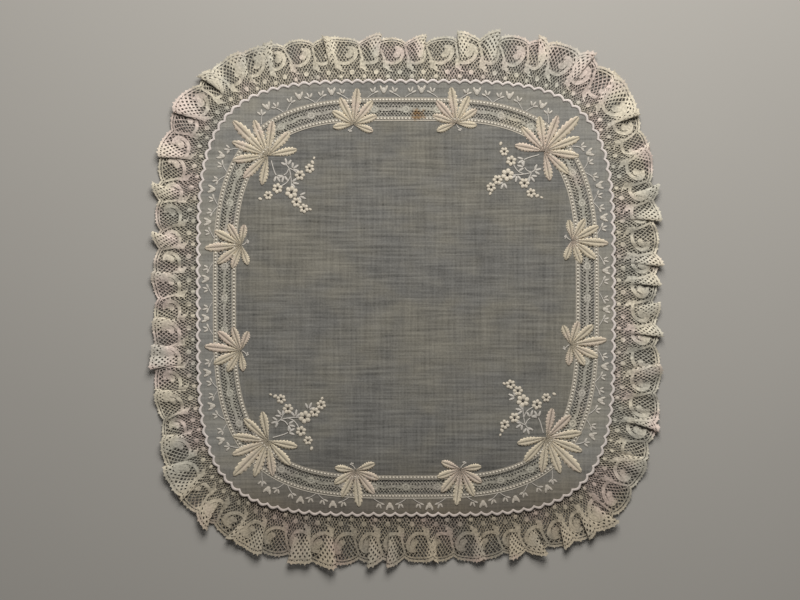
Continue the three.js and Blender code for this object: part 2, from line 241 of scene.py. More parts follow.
class HandkerchiefSizes(bpy.types.PropertyGroup):
    """Sizes of the stitching and the lace."""

    linen_thread: size("Linen thread", "Two threads of the linen, side by side", 0.7)
    edge_width: size("Edge width", "Width of the satin stitch along the scallops", 1.7)
    bead_pitch: size("Bead pitch", "Distance between the beads of the veining", 1.9)
    bead_width: size("Bead width", "Width of one bead of the veining", 1.5)
    net_thread: size("Net thread", "Width of the threads in the lace net", 0.16)
    net_depth: size("Net depth", "Thickness of the threads in the lace net", 0.35)
    picot: size("Picot", "Height of the small points round the lace arches", 1.3)
    leaf_crest: size("Leaf crest", "Height of the padded halves of the leaflets", 0.75)
    stem_width: size("Stem width", "Width of the embroidered stems", 0.7)


class HandkerchiefColours(bpy.types.PropertyGroup):
    """Colours of the threads, and of the floor."""

    linen: colour("Linen", "Sheer linen of the centre and the border", 106, 104, 99)
    linen_warm: colour("Linen, aged", "Brownish clouds in the linen", 109, 105, 95)
    lace: colour("Lace", "Threads of the frill and the insertion", 212, 201, 178)
    lace_rose: colour("Lace, rosy", "Rosy clouds in the lace", 216, 195, 184)
    lace_grey: colour("Lace, greyed", "Greyed clouds in the lace", 186, 182, 168)
    veining: colour("Veining", "Strip under the beads", 162, 154, 140)
    bead: colour("Bead", "Beads of the veining", 218, 209, 192)
    edge: colour("Edge", "Satin stitch along the scallops", 214, 203, 194)
    leaf: colour("Leaf", "Padded leaves", 214, 200, 174)
    leaf_rose: colour("Leaf, rosy", "Rosy clouds in the leaves", 214, 195, 176)
    thread: colour("Thread", "Embroidered flowers", 208, 197, 178)
    fine_thread: colour("Fine thread", "Embroidered stems and sprigs", 190, 184, 175)
    # Its brown is the cloth's age; its darkening is painted shade towards the bottom edge
    age_and_shade: colour("Age", "Tint of the cloth along the bottom, where it has aged most", 160, 146, 130)
    rust: colour("Rust", "Small rust mark on the insertion", 118, 84, 36)
    # Painted shade: a dark disc stands in for the hole of each pierced eyelet
    eyelet_shade: colour("Eyelet", "Dark pierced eyelets", 34, 30, 26)
    floor: colour("Floor", "Plain floor", 154, 150, 143)


def sizes(name):
    """A size from the scene's settings, in millimetres."""
    return getattr(bpy.context.scene.handkerchief_sizes, name) / MM


def paint(name):
    """A colour from the scene's settings, with its alpha."""
    return (*getattr(bpy.context.scene.handkerchief_colours, name), 1.0)


# Lines that the pieces follow


class RoundedSquare:
    """A square with bowed sides and round corners, clockwise from the middle of its top."""

    SAMPLES = 6000

    def __init__(self, half_width, half_height, squareness):
        self.half_width, self.half_height, self.squareness = half_width, half_height, squareness
        angle = np.pi / 2 - np.linspace(0, 2 * np.pi, self.SAMPLES + 1)
        self.points = self.radius(angle)[:, None] * np.stack([np.cos(angle), np.sin(angle)], 1)
        steps = np.diff(self.points, axis=0)
        lengths = np.hypot(*steps.T)
        self.reached = np.concatenate([[0], np.cumsum(lengths)])
        self.length = self.reached[-1]
        ahead = steps / lengths[:, None]
        tangents = np.concatenate([ahead, ahead[:1]]) + np.concatenate([ahead[-1:], ahead])
        self.tangents = tangents / np.hypot(*tangents.T)[:, None]

    def radius(self, angle):
        across = np.abs(np.cos(angle) / self.half_width) ** self.squareness
        along = np.abs(np.sin(angle) / self.half_height) ** self.squareness
        return (across + along) ** (-1 / self.squareness)

    def tangent(self, along):
        place = np.mod(along, self.length)
        found = np.stack([np.interp(place, self.reached, side) for side in self.tangents.T], -1)
        return found / np.linalg.norm(found, axis=-1, keepdims=True)

    def at(self, along, out):
        """Points at distances along the line, moved outwards."""
        place = np.mod(along, self.length)
        point = np.stack([np.interp(place, self.reached, side) for side in self.points.T], -1)
        tangent = self.tangent(along)
        outwards = np.stack([-tangent[..., 1], tangent[..., 0]], -1)
        return point + outwards * np.asarray(out)[..., None]

    def ring(self, out, count):
        """The whole line, moved outwards, as points of which the last lies on the first."""
        return self.at(np.linspace(0, self.length, count), out)

    def along(self, x, y):
        """The distance along the line of the point that lies in a direction from the middle."""
        share = np.mod(np.pi / 2 - np.arctan2(y, x), 2 * np.pi) / (2 * np.pi)
        return np.interp(share * self.SAMPLES, np.arange(self.SAMPLES + 1), self.reached)


EDGE = RoundedSquare(117.7, 122.7, 4.3)
BAND = RoundedSquare(102.6, 106.8, 3.4)
FOLD_RING = np.concatenate([FOLDS[-1:], FOLDS, FOLDS[:1]])
FOLD_RING["at"][0] -= EDGE.length
FOLD_RING["at"][-1] += EDGE.length


def smooth(value):
    x = np.clip(value, 0, 1)
    return x * x * (3 - 2 * x)


def lerp(first, second, share):
    return first + (second - first) * share


def heading(angle):
    """The direction at an angle from +X."""
    return np.array([math.cos(angle), math.sin(angle)])


def toward(centre, direction, points):
    """Points given ahead along a direction and to its left, placed from a centre."""
    ahead = heading(direction)
    left = np.array([-ahead[1], ahead[0]])
    points = np.asarray(points, float)
    return np.asarray(centre) + points[..., :1] * ahead + points[..., 1:2] * left


def cloth_height(x, y):
    """Height of the linen: level inside the veining, rising over the border, with faint waves."""
    angle = np.arctan2(y, x)
    inner = BAND.radius(angle) + CLOTH_OFFSET
    outer = EDGE.radius(angle)
    lift = EDGE_LIFT * np.maximum(0, (np.hypot(x, y) - inner) / (outer - inner))
    across = np.sin(x / RIPPLE_ACROSS + RIPPLE_BENDING * np.sin(y / RIPPLE_BEND))
    up = np.sin(y / RIPPLE_UP + RIPPLE_UP_START)
    slanting = np.sin((x + 2 * y) / RIPPLE_SLANT)
    return LINEN_HEIGHT + lift + RIPPLE_HEIGHT * (across * up + RIPPLE_SLANT_SHARE * slanting)


def on_cloth(points, above):
    """Points in the plane, set at heights above the linen."""
    points = np.asarray(points, float)
    z = cloth_height(points[..., 0], points[..., 1]) + above
    return np.concatenate([points, z[..., None]], -1)


def fold_rise(fold, distance):
    """Height that a fold gives to the lace at a distance along the edge from its crease."""
    side = fold["over"] * distance
    climb = smooth(0.5 + side / (2 * FOLD_HALF * FOLD_ROUND))
    return FOLD_SLACK * fold["rise"] * climb * (1 - smooth((side - FOLD_HALF) / FOLD_FALL))


def lace_spread():
    """Shares of the lace's length, and the distances along the edge where they are sewn on."""
    steps = np.diff(EDGE.ring(SPREAD_OUT, SPREAD_POINTS), axis=0)
    reached = np.concatenate([[0], np.cumsum(np.hypot(*steps.T))])
    return reached / reached[-1], np.linspace(0, EDGE.length, SPREAD_POINTS)


SPREAD = lace_spread()


def folds_beside(lace_along):
    """Places along the edge for distances along the flat lace, and the folds before and after them."""
    turn = np.interp(np.mod(lace_along / LACE_LENGTH, 1), *SPREAD)
    following = np.searchsorted(FOLD_RING["at"], turn, side="right")
    return turn, FOLD_RING[following - 1], FOLD_RING[following]


def fold_growth(out):
    """Share of its height that a fold has reached at a distance out from the edge."""
    return np.maximum(0, (out - FOLD_START) / (FRILL_WIDTH - FOLD_START)) ** HEIGHT_POWER


def fold_lift(lace_along, lace_across):
    """Height that the folds give to the lace."""
    turn, before, after = folds_beside(lace_along)
    rise = np.maximum(fold_rise(before, turn - before["at"]), fold_rise(after, turn - after["at"]))
    return rise * fold_growth(lace_across - FRILL_TUCK_IN)


def pleat_share(lace_points):
    """1 where the lace is doubled in a fold, 0 where it lies single."""
    return smooth((fold_lift(*np.asarray(lace_points, float).T) - PLEAT_FROM) / PLEAT_BLEND)


def fold_shift(turn, before, after):
    """How far the folds on both sides push the rim of the lace along the edge."""
    past = (turn - before["at"]) / FOLD_HALF
    ahead = (after["at"] - turn) / FOLD_HALF
    between = (past - 1) / np.maximum(past + ahead - 2, TINY)
    middle = lerp(-before["tuck"], after["tuck"], between)
    leaving = -before["tuck"] * np.sin(np.pi / 2 * np.clip(past, 0, 1))
    coming = after["tuck"] * np.sin(np.pi / 2 * np.clip(ahead, 0, 1))
    return np.where(past < 1, leaving, np.where(ahead < 1, coming, middle))


def frill_middle(lace_along, lace_across):
    """Where the lace lies: its flat length is gathered along the edge and laid in folds."""
    turn, before, after = folds_beside(lace_along)
    share = smooth((turn - before["at"]) / (after["at"] - before["at"]))
    out = lace_across - FRILL_TUCK_IN
    outwards = np.maximum(0, out / FRILL_WIDTH)
    growth = fold_growth(out)
    lift = fold_lift(lace_along, lace_across)
    angle = 2 * np.pi * turn / EDGE.length
    gathers = [np.sin(count * angle + np.sin(GATHER_CROWDS * angle + count)) for count in GATHERS]
    gather = sum(gathers) / len(GATHERS)
    gathered = 1 - smooth(out / GATHER_REACH)
    slant = lerp(before["slant"], after["slant"], share) * (1 - outwards) * growth
    overlap = TUCK_GAIN * growth**OVERLAP_POWER * fold_shift(turn, before, after)
    along = turn + overlap + slant + GATHER_SHIFT * gathered * gather
    tip = FOLD_TIP * (lift - FOLD_TIP_FROM)
    reach = lerp(before["reach"], after["reach"], share) - PICOT_ROOM + tip
    stretch = lerp(1, reach / FRILL_WIDTH, smooth(outwards))
    ruffle = 0.5 + 0.5 * np.sin(RUFFLES * angle + RUFFLE_CROWDING * np.sin(RUFFLE_CROWDS * angle))
    laid = np.maximum(lift, RUFFLE_HEIGHT * ruffle * smooth(out / RUFFLE_REACH))
    seam = SEAM_LIFT * (1 - smooth(out / SEAM_REACH))
    pucker = GATHER_HEIGHT * gathered * smooth(out / GATHER_START) * (0.5 + 0.5 * gather)
    z = FRILL_FLOOR + laid + seam + pucker
    return np.concatenate([EDGE.at(along, out * stretch), z[..., None]], -1)


def on_frill(lace_points, above=0.0):
    """Points of the flat lace where they lie in the frill, lifted off its surface."""
    along, across = np.asarray(lace_points, float).T
    place = frill_middle(along, across)
    first = frill_middle(along + SLOPE_STEP, across) - frill_middle(along - SLOPE_STEP, across)
    second = frill_middle(along, across + SLOPE_STEP) - frill_middle(along, across - SLOPE_STEP)
    normal = np.cross(first, second)
    normal /= np.maximum(np.linalg.norm(normal, axis=1, keepdims=True), TINY)
    return place + normal * np.broadcast_to(above, len(place))[:, None]


def on_band(band_points, height):
    """Points of the flat insertion where they lie round the handkerchief."""
    along, across = np.asarray(band_points, float).T
    place = BAND.at(along, across)
    return np.concatenate([place, np.broadcast_to(height, len(place))[:, None]], 1)


# Meshes


WELD = 0.0001  # points of a closed strip that lie nearer than this are joined
PAD_SIDES = 8
PAD_RINGS = 4
PAD_CUT = -0.9  # a pad's sphere is cut open here
PAD_FOOT = -0.3  # and flattened here
OVAL_SIDES = 10
CURVE_STEP = 0.9  # between the points of a curved line
STEM_SIDES = 6
STEM_LIFT = 0.1  # of a stem's middle above the linen
STEM_HALF = 0.3  # of its height
NET_SEED = 7
NET_JITTER = 0.05  # unevenness of the knots
# Painted shade: the sloping sides of the net's threads are painted dark
SIDE_SHADE_KIND = -0.85  # of the sides of the net's threads, which lie in shade


class Work:
    """Vertices in millimetres, faces, surface coordinates and thread kinds of a piece being made."""

    def __init__(self):
        self.points, self.faces, self.surface, self.kinds, self.finish_of = [], [], [], [], []
        self.count = 0

    def add(self, points, faces, surface=None, kind=0.0, finish=0):
        points = np.asarray(points, float)
        surface = points[:, :2] if surface is None else surface
        self.points.append(points)
        self.surface.append(np.asarray(surface, float))
        self.kinds.append(np.broadcast_to(np.asarray(kind, float), len(points)))
        self.faces.extend([corner + self.count for corner in face] for face in faces)
        self.finish_of.extend([finish] * len(faces))
        self.count += len(points)

    def make(self, name, finishes, stands_for=None, smooth_faces=True, weld=False):
        """The piece as an object at the origin, with its surface coordinates as a UV map."""
        mesh = bpy.data.meshes.new(name)
        mesh.from_pydata((np.concatenate(self.points) * MM).tolist(), [], self.faces)
        corners = np.zeros(len(mesh.loops), np.int32)
        mesh.loops.foreach_get("vertex_index", corners)
        layer = mesh.uv_layers.new(name="surface")
        layer.data.foreach_set("uv", np.concatenate(self.surface)[corners].astype(np.float32).ravel())
        kinds = mesh.attributes.new("kind", "FLOAT", "POINT")
        kinds.data.foreach_set("value", np.concatenate(self.kinds).astype(np.float32))
        mesh.polygons.foreach_set("material_index", np.array(self.finish_of, np.int32))
        mesh.polygons.foreach_set("use_smooth", np.full(len(mesh.polygons), smooth_faces))
        for finish in finishes:
            mesh.materials.append(finish)
        if weld:
            shape = bmesh.new()
            shape.from_mesh(mesh)
            bmesh.ops.remove_doubles(shape, verts=shape.verts, dist=WELD * MM)
            shape.to_mesh(mesh)
            shape.free()
        mesh.validate()
        piece = bpy.data.objects.new(name, mesh)
        bpy.context.scene.collection.objects.link(piece)
        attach(piece, "root")
        if stands_for:
            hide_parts(stands_for)
        return piece


def corners_of(shape):
    """The points and faces of a bmesh, which is freed."""
    shape.verts.index_update()
    points = np.array([vertex.co for vertex in shape.verts])
    faces = [[vertex.index for vertex in face.verts] for face in shape.faces]
    shape.free()
    return points, faces


def grid(columns, rows):
    """A grid of faces whose points are shares from 0 to 1 along and across."""
    shape = bmesh.new()
    bmesh.ops.create_grid(shape, x_segments=columns, y_segments=rows, size=0.5)
    points, faces = corners_of(shape)
    return points[:, 0] + 0.5, points[:, 1] + 0.5, faces


def turned(points, angle):
    """Points in the plane, turned about the origin."""
    ahead = heading(angle)
    return points @ np.array([ahead, (-ahead[1], ahead[0])])


def pad():
    """A small round pad with a level underside, one unit in radius and height."""
    shape = bmesh.new()
    bmesh.ops.create_uvsphere(shape, u_segments=PAD_SIDES, v_segments=PAD_RINGS, radius=1.0)
    below = [vertex for vertex in shape.verts if vertex.co.z < PAD_CUT]
    bmesh.ops.delete(shape, geom=below, context="VERTS")
    for vertex in shape.verts:
        vertex.co.z = max(vertex.co.z, PAD_FOOT)
    points, faces = corners_of(shape)
    return points, sorted(faces)  # the same order in each run


def add_pad(work, centre, half_length, half_width, height, turn, kind=1.0):
    """A pad lying on the linen, with its length along a direction."""
    points, faces = pad()
    across = points[:, :2] * (half_length, half_width)
    work.add(on_cloth(turned(across, turn) + centre, points[:, 2] * height), faces, across, kind)


def curve_through(points, step=CURVE_STEP):
    """A smooth line through a few points, with a point at each step."""
    points = np.asarray(points, float)
    ends = np.concatenate([[2 * points[0] - points[1]], points, [2 * points[-1] - points[-2]]])
    line = []
    for before, start, end, after in zip(ends, ends[1:], ends[2:], ends[3:]):
        count = max(2, int(np.linalg.norm((end - start)[:2]) / step))
        t = np.linspace(0, 1, count, endpoint=False)[:, None]
        pull = (end - before) * t + (2 * before - 5 * start + 4 * end - after) * t**2
        line.append(start + 0.5 * (pull + (3 * start - before - 3 * end + after) * t**3))
    return np.concatenate([*line, points[-1:]])


def sideways(line):
    """The left-hand direction at each point of a line in the plane."""
    ahead = np.gradient(line, axis=0)
    ahead /= np.maximum(np.linalg.norm(ahead, axis=1, keepdims=True), TINY)
    return np.stack([-ahead[:, 1], ahead[:, 0]], 1)


def ribbon(line, width):
    """A flat strip along a line: points, faces. The width may change along it."""
    line = np.asarray(line, float)
    half = np.broadcast_to(np.asarray(width, float) / 2, len(line))[:, None]
    beside = sideways(line)
    points = np.concatenate([line - beside * half, line + beside * half])
    count = len(line)
    return points, [[i, i + 1, i + 1 + count, i + count] for i in range(count - 1)]


def disc(x, y, half_length, half_width, turn=0.0):
    """A flat oval with a ring of points at half its size."""
    angle = np.arange(OVAL_SIDES) * 2 * np.pi / OVAL_SIDES
    rim = turned(np.stack([half_length * np.cos(angle), half_width * np.sin(angle)], 1), turn)
    points = np.concatenate([[[0, 0]], rim / 2, rim]) + (x, y)
    faces = [[0, 1 + i, 1 + (i + 1) % OVAL_SIDES] for i in range(OVAL_SIDES)]
    faces += [[i, i + OVAL_SIDES, k + OVAL_SIDES, k] for _, i, k in faces]
    return points, faces


def add_stem(work, line, width, kind):
    """A raised stitched line on the linen."""
    line = curve_through(line)
    beside = sideways(line)
    angle = np.arange(STEM_SIDES) * 2 * np.pi / STEM_SIDES
    across = (line[:, None] + beside[:, None] * (width / 2 * np.cos(angle))[None, :, None]).reshape(-1, 2)
    above = np.tile(STEM_LIFT + STEM_HALF * np.sin(angle), len(line))
    faces = []
    for i in range(len(line) - 1):
        for j in range(STEM_SIDES):
            k = (j + 1) % STEM_SIDES
            faces.append([n * STEM_SIDES + m for n, m in ((i, j), (i, k), (i + 1, k), (i + 1, j))])
    along = np.repeat(np.arange(len(line)) * CURVE_STEP, STEM_SIDES)
    surface = np.stack([along, np.tile(np.arange(STEM_SIDES), len(line))], 1)
    work.add(on_cloth(across, above), faces, surface, kind)


def add_sprig(work, foot, direction, length=3.0, spread=0.8, width=1.2, kind=0.2):
    """Three slender leaves that open from a foot."""
    gap, height, outer_share = 0.3, 0.4, 0.9
    for turn, share in ((-spread, outer_share), (0.0, 1.0), (spread, outer_share)):
        half = length * share / 2
        centre = np.asarray(foot) + (half + gap) * heading(direction + turn)
        add_pad(work, centre, half, width / 2, height, direction + turn, kind)


def net_shape(columns, rows):
    """A closed diamond net, as shares along and across.

    Gives its knots, the middles of its openings, the four corners of each opening and the knots there.
    """
    whole = np.array([2 * columns, 2 * rows])
    i, j = np.meshgrid(np.arange(whole[0]), np.arange(1, whole[1]))
    middles = np.stack([i, j], -1)[(i + j) % 2 == 0]
    corners = middles[:, None] + np.array([(1, 0), (0, 1), (-1, 0), (0, -1)])
    wrapped = np.mod(corners, (whole[0], whole[1] + 1)).reshape(-1, 2)
    knots, knot_at = np.unique(wrapped, axis=0, return_inverse=True)
    return knots / whole, middles / whole, corners / whole, knot_at.reshape(-1, 4)


def thread_opening(wide, high):
    """Share of a net's diamond that its threads leave open."""
    return 1 - sizes("net_thread") * math.hypot(wide, high) / (wide * high)


def add_net(work, net, lay_flat, thread, hole, place, kind):
    """Threads round the openings of a net, with level tops and sides that slope into the openings and are
    painted dark as shade.

    lay_flat turns shares into the flat lace. thread and hole are the sizes of the openings between
    the tops and between the feet of the sides. They depend on the place in the flat lace, as does
    the kind, and place sets flat points at a height off the lace where it lies.
    """
    knots, middles, corners, knot_at = net
    knots, middles = lay_flat(knots), lay_flat(middles)
    corners = lay_flat(corners.reshape(-1, 2)).reshape(-1, 4, 2)
    flat, lines, count = [knots], [knot_at], len(knots)
    for opening in (thread, hole):
        ring = middles[:, None] + (corners - middles[:, None]) * opening(middles)[:, None, None]
        lines.append(count + np.arange(ring.size // 2).reshape(-1, 4))
        flat.append(ring.reshape(-1, 2))
        count += ring.size // 2
    flat = np.concatenate(flat)
    flat += np.random.default_rng(NET_SEED).normal(0, NET_JITTER, flat.shape)
    feet = np.arange(count) >= count - ring.size // 2
    faces = []
    for k in range(4):
        n = (k + 1) % 4
        for outer, inner in zip(lines, lines[1:]):
            faces += np.stack([outer[:, k], outer[:, n], inner[:, n], inner[:, k]], 1).tolist()
    above = np.where(feet, -sizes("net_depth"), 0.0)
    # The feet of the sides take the dark kind: painted shade in the net's openings
    work.add(place(flat, above), faces, flat, np.where(feet, SIDE_SHADE_KIND, kind(flat)))


# Finishes


class Value:
    """A socket in a finish. Arithmetic with numbers and other values adds Math nodes."""

    def __init__(self, finish, socket):
        self.finish, self.socket = finish, socket

    def math(self, operation, *operands):
        return self.finish.node("ShaderNodeMath", {"operation": operation}, operands)

    def __add__(self, other):
        return self.math("ADD", self, other)

    def __sub__(self, other):
        return self.math("SUBTRACT", self, other)

    def __rsub__(self, other):
        return self.math("SUBTRACT", other, self)

    def __mul__(self, other):
        return self.math("MULTIPLY", self, other)

    def __truediv__(self, other):
        return self.math("DIVIDE", self, other)

    def __abs__(self):
        return self.math("ABSOLUTE", self)

    __radd__ = __add__
    __rmul__ = __mul__

    def sine(self):
        return self.math("SINE", self)

    def at_least(self, other):
        return self.math("MAXIMUM", self, other)


class Finish:
    """A material under construction."""

    def __init__(self, name, roughness):
        self.material = bpy.data.materials.new(name)
        self.material.use_nodes = True
        self.tree = self.material.node_tree
        self.shader = self.tree.nodes["Principled BSDF"]
        self.shader.inputs["Roughness"].default_value = roughness
        self.shader.inputs["Specular IOR Level"].default_value = 0.25
        self.place = self.node("ShaderNodeTexCoord", output="Object")

    def node(self, kind, settings=None, sockets=(), output=0):
        """Adds a node, sets it up, feeds its sockets and gives one of its outputs."""
        made = self.tree.nodes.new(kind)
        for name, value in (settings or {}).items():
            setattr(made, name, value)
        for name, value in sockets.items() if isinstance(sockets, dict) else enumerate(sockets):
            self.feed(made.inputs[name], value)
        return Value(self, made.outputs[output])

    def feed(self, socket, value):
        if isinstance(value, Value):
            self.tree.links.new(value.socket, socket)
        else:
            socket.default_value = value

    def set(self, name, value):
        self.feed(self.shader.inputs[name], value)

    def surface(self, side):
        """The piece's own coordinate along (X) or across (Y) its surface."""
        coordinates = self.node("ShaderNodeUVMap", {"uv_map": "surface"})
        return self.node("ShaderNodeSeparateXYZ", None, (coordinates,), side)

    def axis(self, side):
        return self.node("ShaderNodeSeparateXYZ", None, (self.place,), side)

    def kind(self):
        return self.node("ShaderNodeAttribute", {"attribute_name": "kind"}, output="Fac")

    def clouds(self, per_metre, detail=2.0):
        """Uneven clouds, with a count to the metre along each axis."""
        stretched = self.node(
            "ShaderNodeVectorMath", {"operation": "MULTIPLY"}, (self.place, per_metre)
        )
        sockets = {"Vector": stretched, "Scale": 1.0, "Detail": detail}
        return self.node("ShaderNodeTexNoise", None, sockets)

    def between(self, value, low, high):
        """0 below the first limit, 1 above the second and a smooth rise from one to the other."""
        sockets = {"Value": value, "From Min": low, "From Max": high}
        return self.node("ShaderNodeMapRange", {"interpolation_type": "SMOOTHSTEP"}, sockets)

    def mix(self, share, first, second, blend="MIX"):
        settings = {"data_type": "RGBA", "blend_type": blend}
        return self.node("ShaderNodeMix", settings, {0: share, 6: first, 7: second}, 2)

    def shade(self, tint, amount):
        return self.mix(1.0, tint, amount, "MULTIPLY")

    def raise_by(self, height, distance):
        """Relief from a height that runs from 0 to 1."""
        bump = self.node("ShaderNodeBump", None, {"Distance": distance, "Height": height})
        self.set("Normal", bump)

    def browned_and_shaded(self, tint, amount):
        """The colour, browner and darker towards the bottom edge: the browning is the cloth's age, the
        darkening is painted shade of light falling off there.
        """
        share = amount * self.between(self.axis("Y"), BROWN_SHADE_FROM * MM, BROWN_SHADE_TO * MM)
        return self.mix(share, tint, self.shade(tint, paint("age_and_shade")))

    def rusted(self, tint):
        """The colour with the small rust mark on the top side of the insertion."""
        across = (self.axis("X") - RUST_PLACE[0] * MM) / (RUST_HALF[0] * MM)
        down = (self.axis("Y") - RUST_PLACE[1] * MM) / (RUST_HALF[1] * MM)
        ragged = (self.clouds((380, 380, 380)) - 0.5) * RUST_RAGGEDNESS
        mark = self.between(across * across + down * down + ragged, 1.0, 0.1)
        return self.mix(mark * RUST_STRENGTH, tint, paint("rust"))


def linen_finish(name, paleness):
    """Plain weave of uneven threads, sheer, with thick pale threads and faint clouds."""
    finish = Finish(name, 0.9)
    weft = finish.clouds((34, 680, 1)) - 0.5
    warp = finish.clouds((700, 32, 1)) - 0.5
    grain = finish.clouds((900, 900, 1)) - 0.5
    slubs = finish.between(finish.clouds((22, 820, 1)), 0.58, 0.74)
    turn = 2 * math.pi / sizes("linen_thread") / MM
    weave = (finish.axis("X") * turn).sine() * (finish.axis("Y") * turn).sine()
    cloud = finish.clouds((14, 18, 1), 3.0)
    patch = finish.clouds((60, 95, 1))
    uneven = 0.5 * (cloud - 0.5) + 0.45 * (patch - 0.5) + 0.18 * slubs + 0.1 * weave
    tone = paleness + 1.25 * weft + 0.65 * warp + 0.6 * grain + uneven
    aged = finish.between(0.7 * cloud + 0.3 * patch, 0.38, 0.64)
    tint = finish.mix(aged, paint("linen"), paint("linen_warm"))
    finish.set("Base Color", finish.rusted(finish.browned_and_shaded(finish.shade(tint, tone), 1.0)))
    finish.set("Alpha", finish.between(weft + warp + grain, -1.0, -0.35))
    finish.raise_by(0.5 + weft + warp + 0.5 * grain + 0.4 * weave, 0.1 * MM)
    return finish.material


def lace_finish(name, greyness):
    """Cotton threads in clouds of cream, rose and grey; the kind runs from 0, dull, to 1, bright. Below 0
    it is painted shade on the sides of the net's threads, and the pleats' raised kind is painted light.
    """
    finish = Finish(name, 0.85)
    rosy = finish.between(finish.clouds((34, 34, 34)), 0.46, 0.62)
    greyed = finish.between(finish.clouds((41, 37, 29)) + greyness, 0.44, 0.66)
    tint = finish.mix(rosy * 0.8, paint("lace"), paint("lace_rose"))
    tint = finish.mix(greyed * 0.8, tint, paint("lace_grey"))
    fleck = finish.clouds((850, 850, 850))
    tone = (0.1 + 0.55 * finish.kind() + 0.9 * fleck).at_least(0.05)
    finish.set("Base Color", finish.rusted(finish.browned_and_shaded(finish.shade(tint, tone), 0.55)))
    finish.raise_by(fleck, 0.15 * MM)
    return finish.material


def veining_finish():
    """Woven strip, with painted shade in the small gaps between the beads."""
    finish = Finish("veining_strip", 0.85)
    turn = 2 * math.pi / sizes("bead_pitch")
    from_bead = (finish.surface("X") * turn + math.pi / 2).sine()
    from_row = abs(finish.surface("Y") - BEAD_OFFSET)
    # Painted shade in the small gaps between the beads
    gap = finish.between(from_bead, 0.1, -0.6) * finish.between(from_row, 0.85, 0.45)
    fleck = finish.clouds((1300, 1300, 1300))
    tone = (0.8 + 0.4 * fleck) * (1 - 0.45 * gap)
    finish.set("Base Color", finish.rusted(finish.shade(paint("veining"), tone)))
    finish.raise_by(fleck - gap, 0.25 * MM)
    return finish.material


def stitched_finish(name, tint, fine_tint, pitch):
    """Satin stitch across a raised line or pad; the kind is 1 in full stitches, 0 in fine ones."""
    finish = Finish(name, 0.6)
    stitch = (finish.surface("X") * (2 * math.pi / pitch)).sine()
    cloud = finish.clouds((60, 60, 60)) - 0.5
    fleck = finish.clouds((900, 900, 900)) - 0.5
    tone = 0.94 + 0.06 * stitch + 0.35 * cloud + 0.3 * fleck
    colours = finish.mix(finish.kind(), paint(fine_tint), paint(tint))
    finish.set("Base Color", finish.rusted(finish.browned_and_shaded(finish.shade(colours, tone), 0.5)))
    finish.raise_by(0.5 + 0.5 * stitch + fleck, 0.12 * MM)
    return finish.material


LEAF_SCALE = 30.0  # millimetres of leaflet to one unit of its surface coordinate
LEAF_STITCH = 0.55
LEAF_SLANT = 2.2  # how far the stitches lean towards the tip, on each half


def leaf_finish():
    """Slanting satin stitch on both halves of a leaflet, with painted shade in the groove along the vein
    between them and a painted highlight along the rim.
    """
    finish = Finish("leaf_stitch", 0.6)
    beside = abs(finish.surface("X") - 0.5) * 2
    along = finish.surface("Y") * LEAF_SCALE
    stitch = ((along - LEAF_SLANT * beside) * (2 * math.pi / LEAF_STITCH)).sine()
    # Painted shade in the groove along the vein
    vein = finish.between(beside, 0.26, 0.02)
    # Painted highlight along the leaflet's rim
    rim = finish.between(beside, 0.7, 1.0)
    neck = finish.between(along, 6.5, 2.0)
    cloud = finish.clouds((75, 75, 75)) - 0.5
    fleck = finish.clouds((1000, 1000, 1000)) - 0.5
    rosy = finish.between(finish.clouds((45, 52, 40)), 0.45, 0.65)
    tint = finish.mix(rosy, paint("leaf"), paint("leaf_rose"))
    tone = 0.86 + 0.05 * stitch + 0.3 * cloud + 0.25 * fleck + 0.32 * rim - 0.46 * vein - 0.1 * neck
    finish.set("Base Color", finish.shade(tint, tone))
    finish.raise_by(0.5 + 0.5 * stitch + fleck - 0.8 * vein, 0.14 * MM)
    return finish.material


def plain_finish(name, tint, roughness, unevenness=0.1):
    finish = Finish(name, roughness)
    cloud = finish.clouds((7, 7, 7), 4.0)
    finish.set("Base Color", finish.shade(paint(tint), 1 - unevenness / 2 + unevenness * cloud))
    return finish.material


# Pieces


def area_within(line):
    """Area inside a closed line."""
    x, y = line.T
    return abs(np.sum(x * np.roll(y, -1) - y * np.roll(x, -1))) / 2


def scalloped_out(along):
    """Distance of the scalloped rim from the edge's line."""
    lobe = np.abs(np.sin(np.pi * SCALLOPS * along / EDGE.length))
    return SCALLOP_DEPTH * (lobe - 0.5)


class HANDKERCHIEF_OT_linen(bpy.types.Operator):
    """Sheer linen: the centre panel, and the border that rises to its scalloped edge"""

    bl_idname = "handkerchief.linen"
    bl_label = "Linen"

    CENTRE_STEPS = 120
    SCALLOP_STEPS = 8
    BORDER_STEPS = 6
    BORDER_PALENESS = 1.42  # as a share of the centre's tone
    RIM_POINTS = 800  # of the lines on which the flat sizes are measured

    def execute(self, context):
        self.centre()
        self.border()
        return {"FINISHED"}

    def centre(self):
        u, v, faces = grid(self.CENTRE_STEPS, self.CENTRE_STEPS)
        x, y = 2 * u - 1, 2 * v - 1
        reach = np.maximum(np.abs(x), np.abs(y))
        rim = BAND.at(BAND.along(x, y), -LINEN_START)
        work = Work()
        work.add(on_cloth(rim * reach[:, None], 0.0), faces)
        piece = work.make("linen_centre", [linen_finish("linen_centre", 1.0)], "centre_panel")
        line = BAND.ring(-LINEN_START, self.RIM_POINTS)

    def border(self):
        u, v, faces = grid(SCALLOPS * self.SCALLOP_STEPS, self.BORDER_STEPS)
        inner = BAND.at(u * BAND.length, LINEN_START)
        along = u * EDGE.length
        outer = EDGE.at(along, scalloped_out(along))
        work = Work()
        work.add(on_cloth(lerp(inner, outer, v[:, None]), 0.0), faces)
        finish = linen_finish("linen_border", self.BORDER_PALENESS)
        piece = work.make("linen_border", [finish], "scalloped_border", weld=True)
        inner, outer = BAND.ring(LINEN_START, self.RIM_POINTS), EDGE.ring(0.0, self.RIM_POINTS)
        length = (BAND.length + EDGE.length) / 2
        width = (area_within(outer) - area_within(inner)) / length


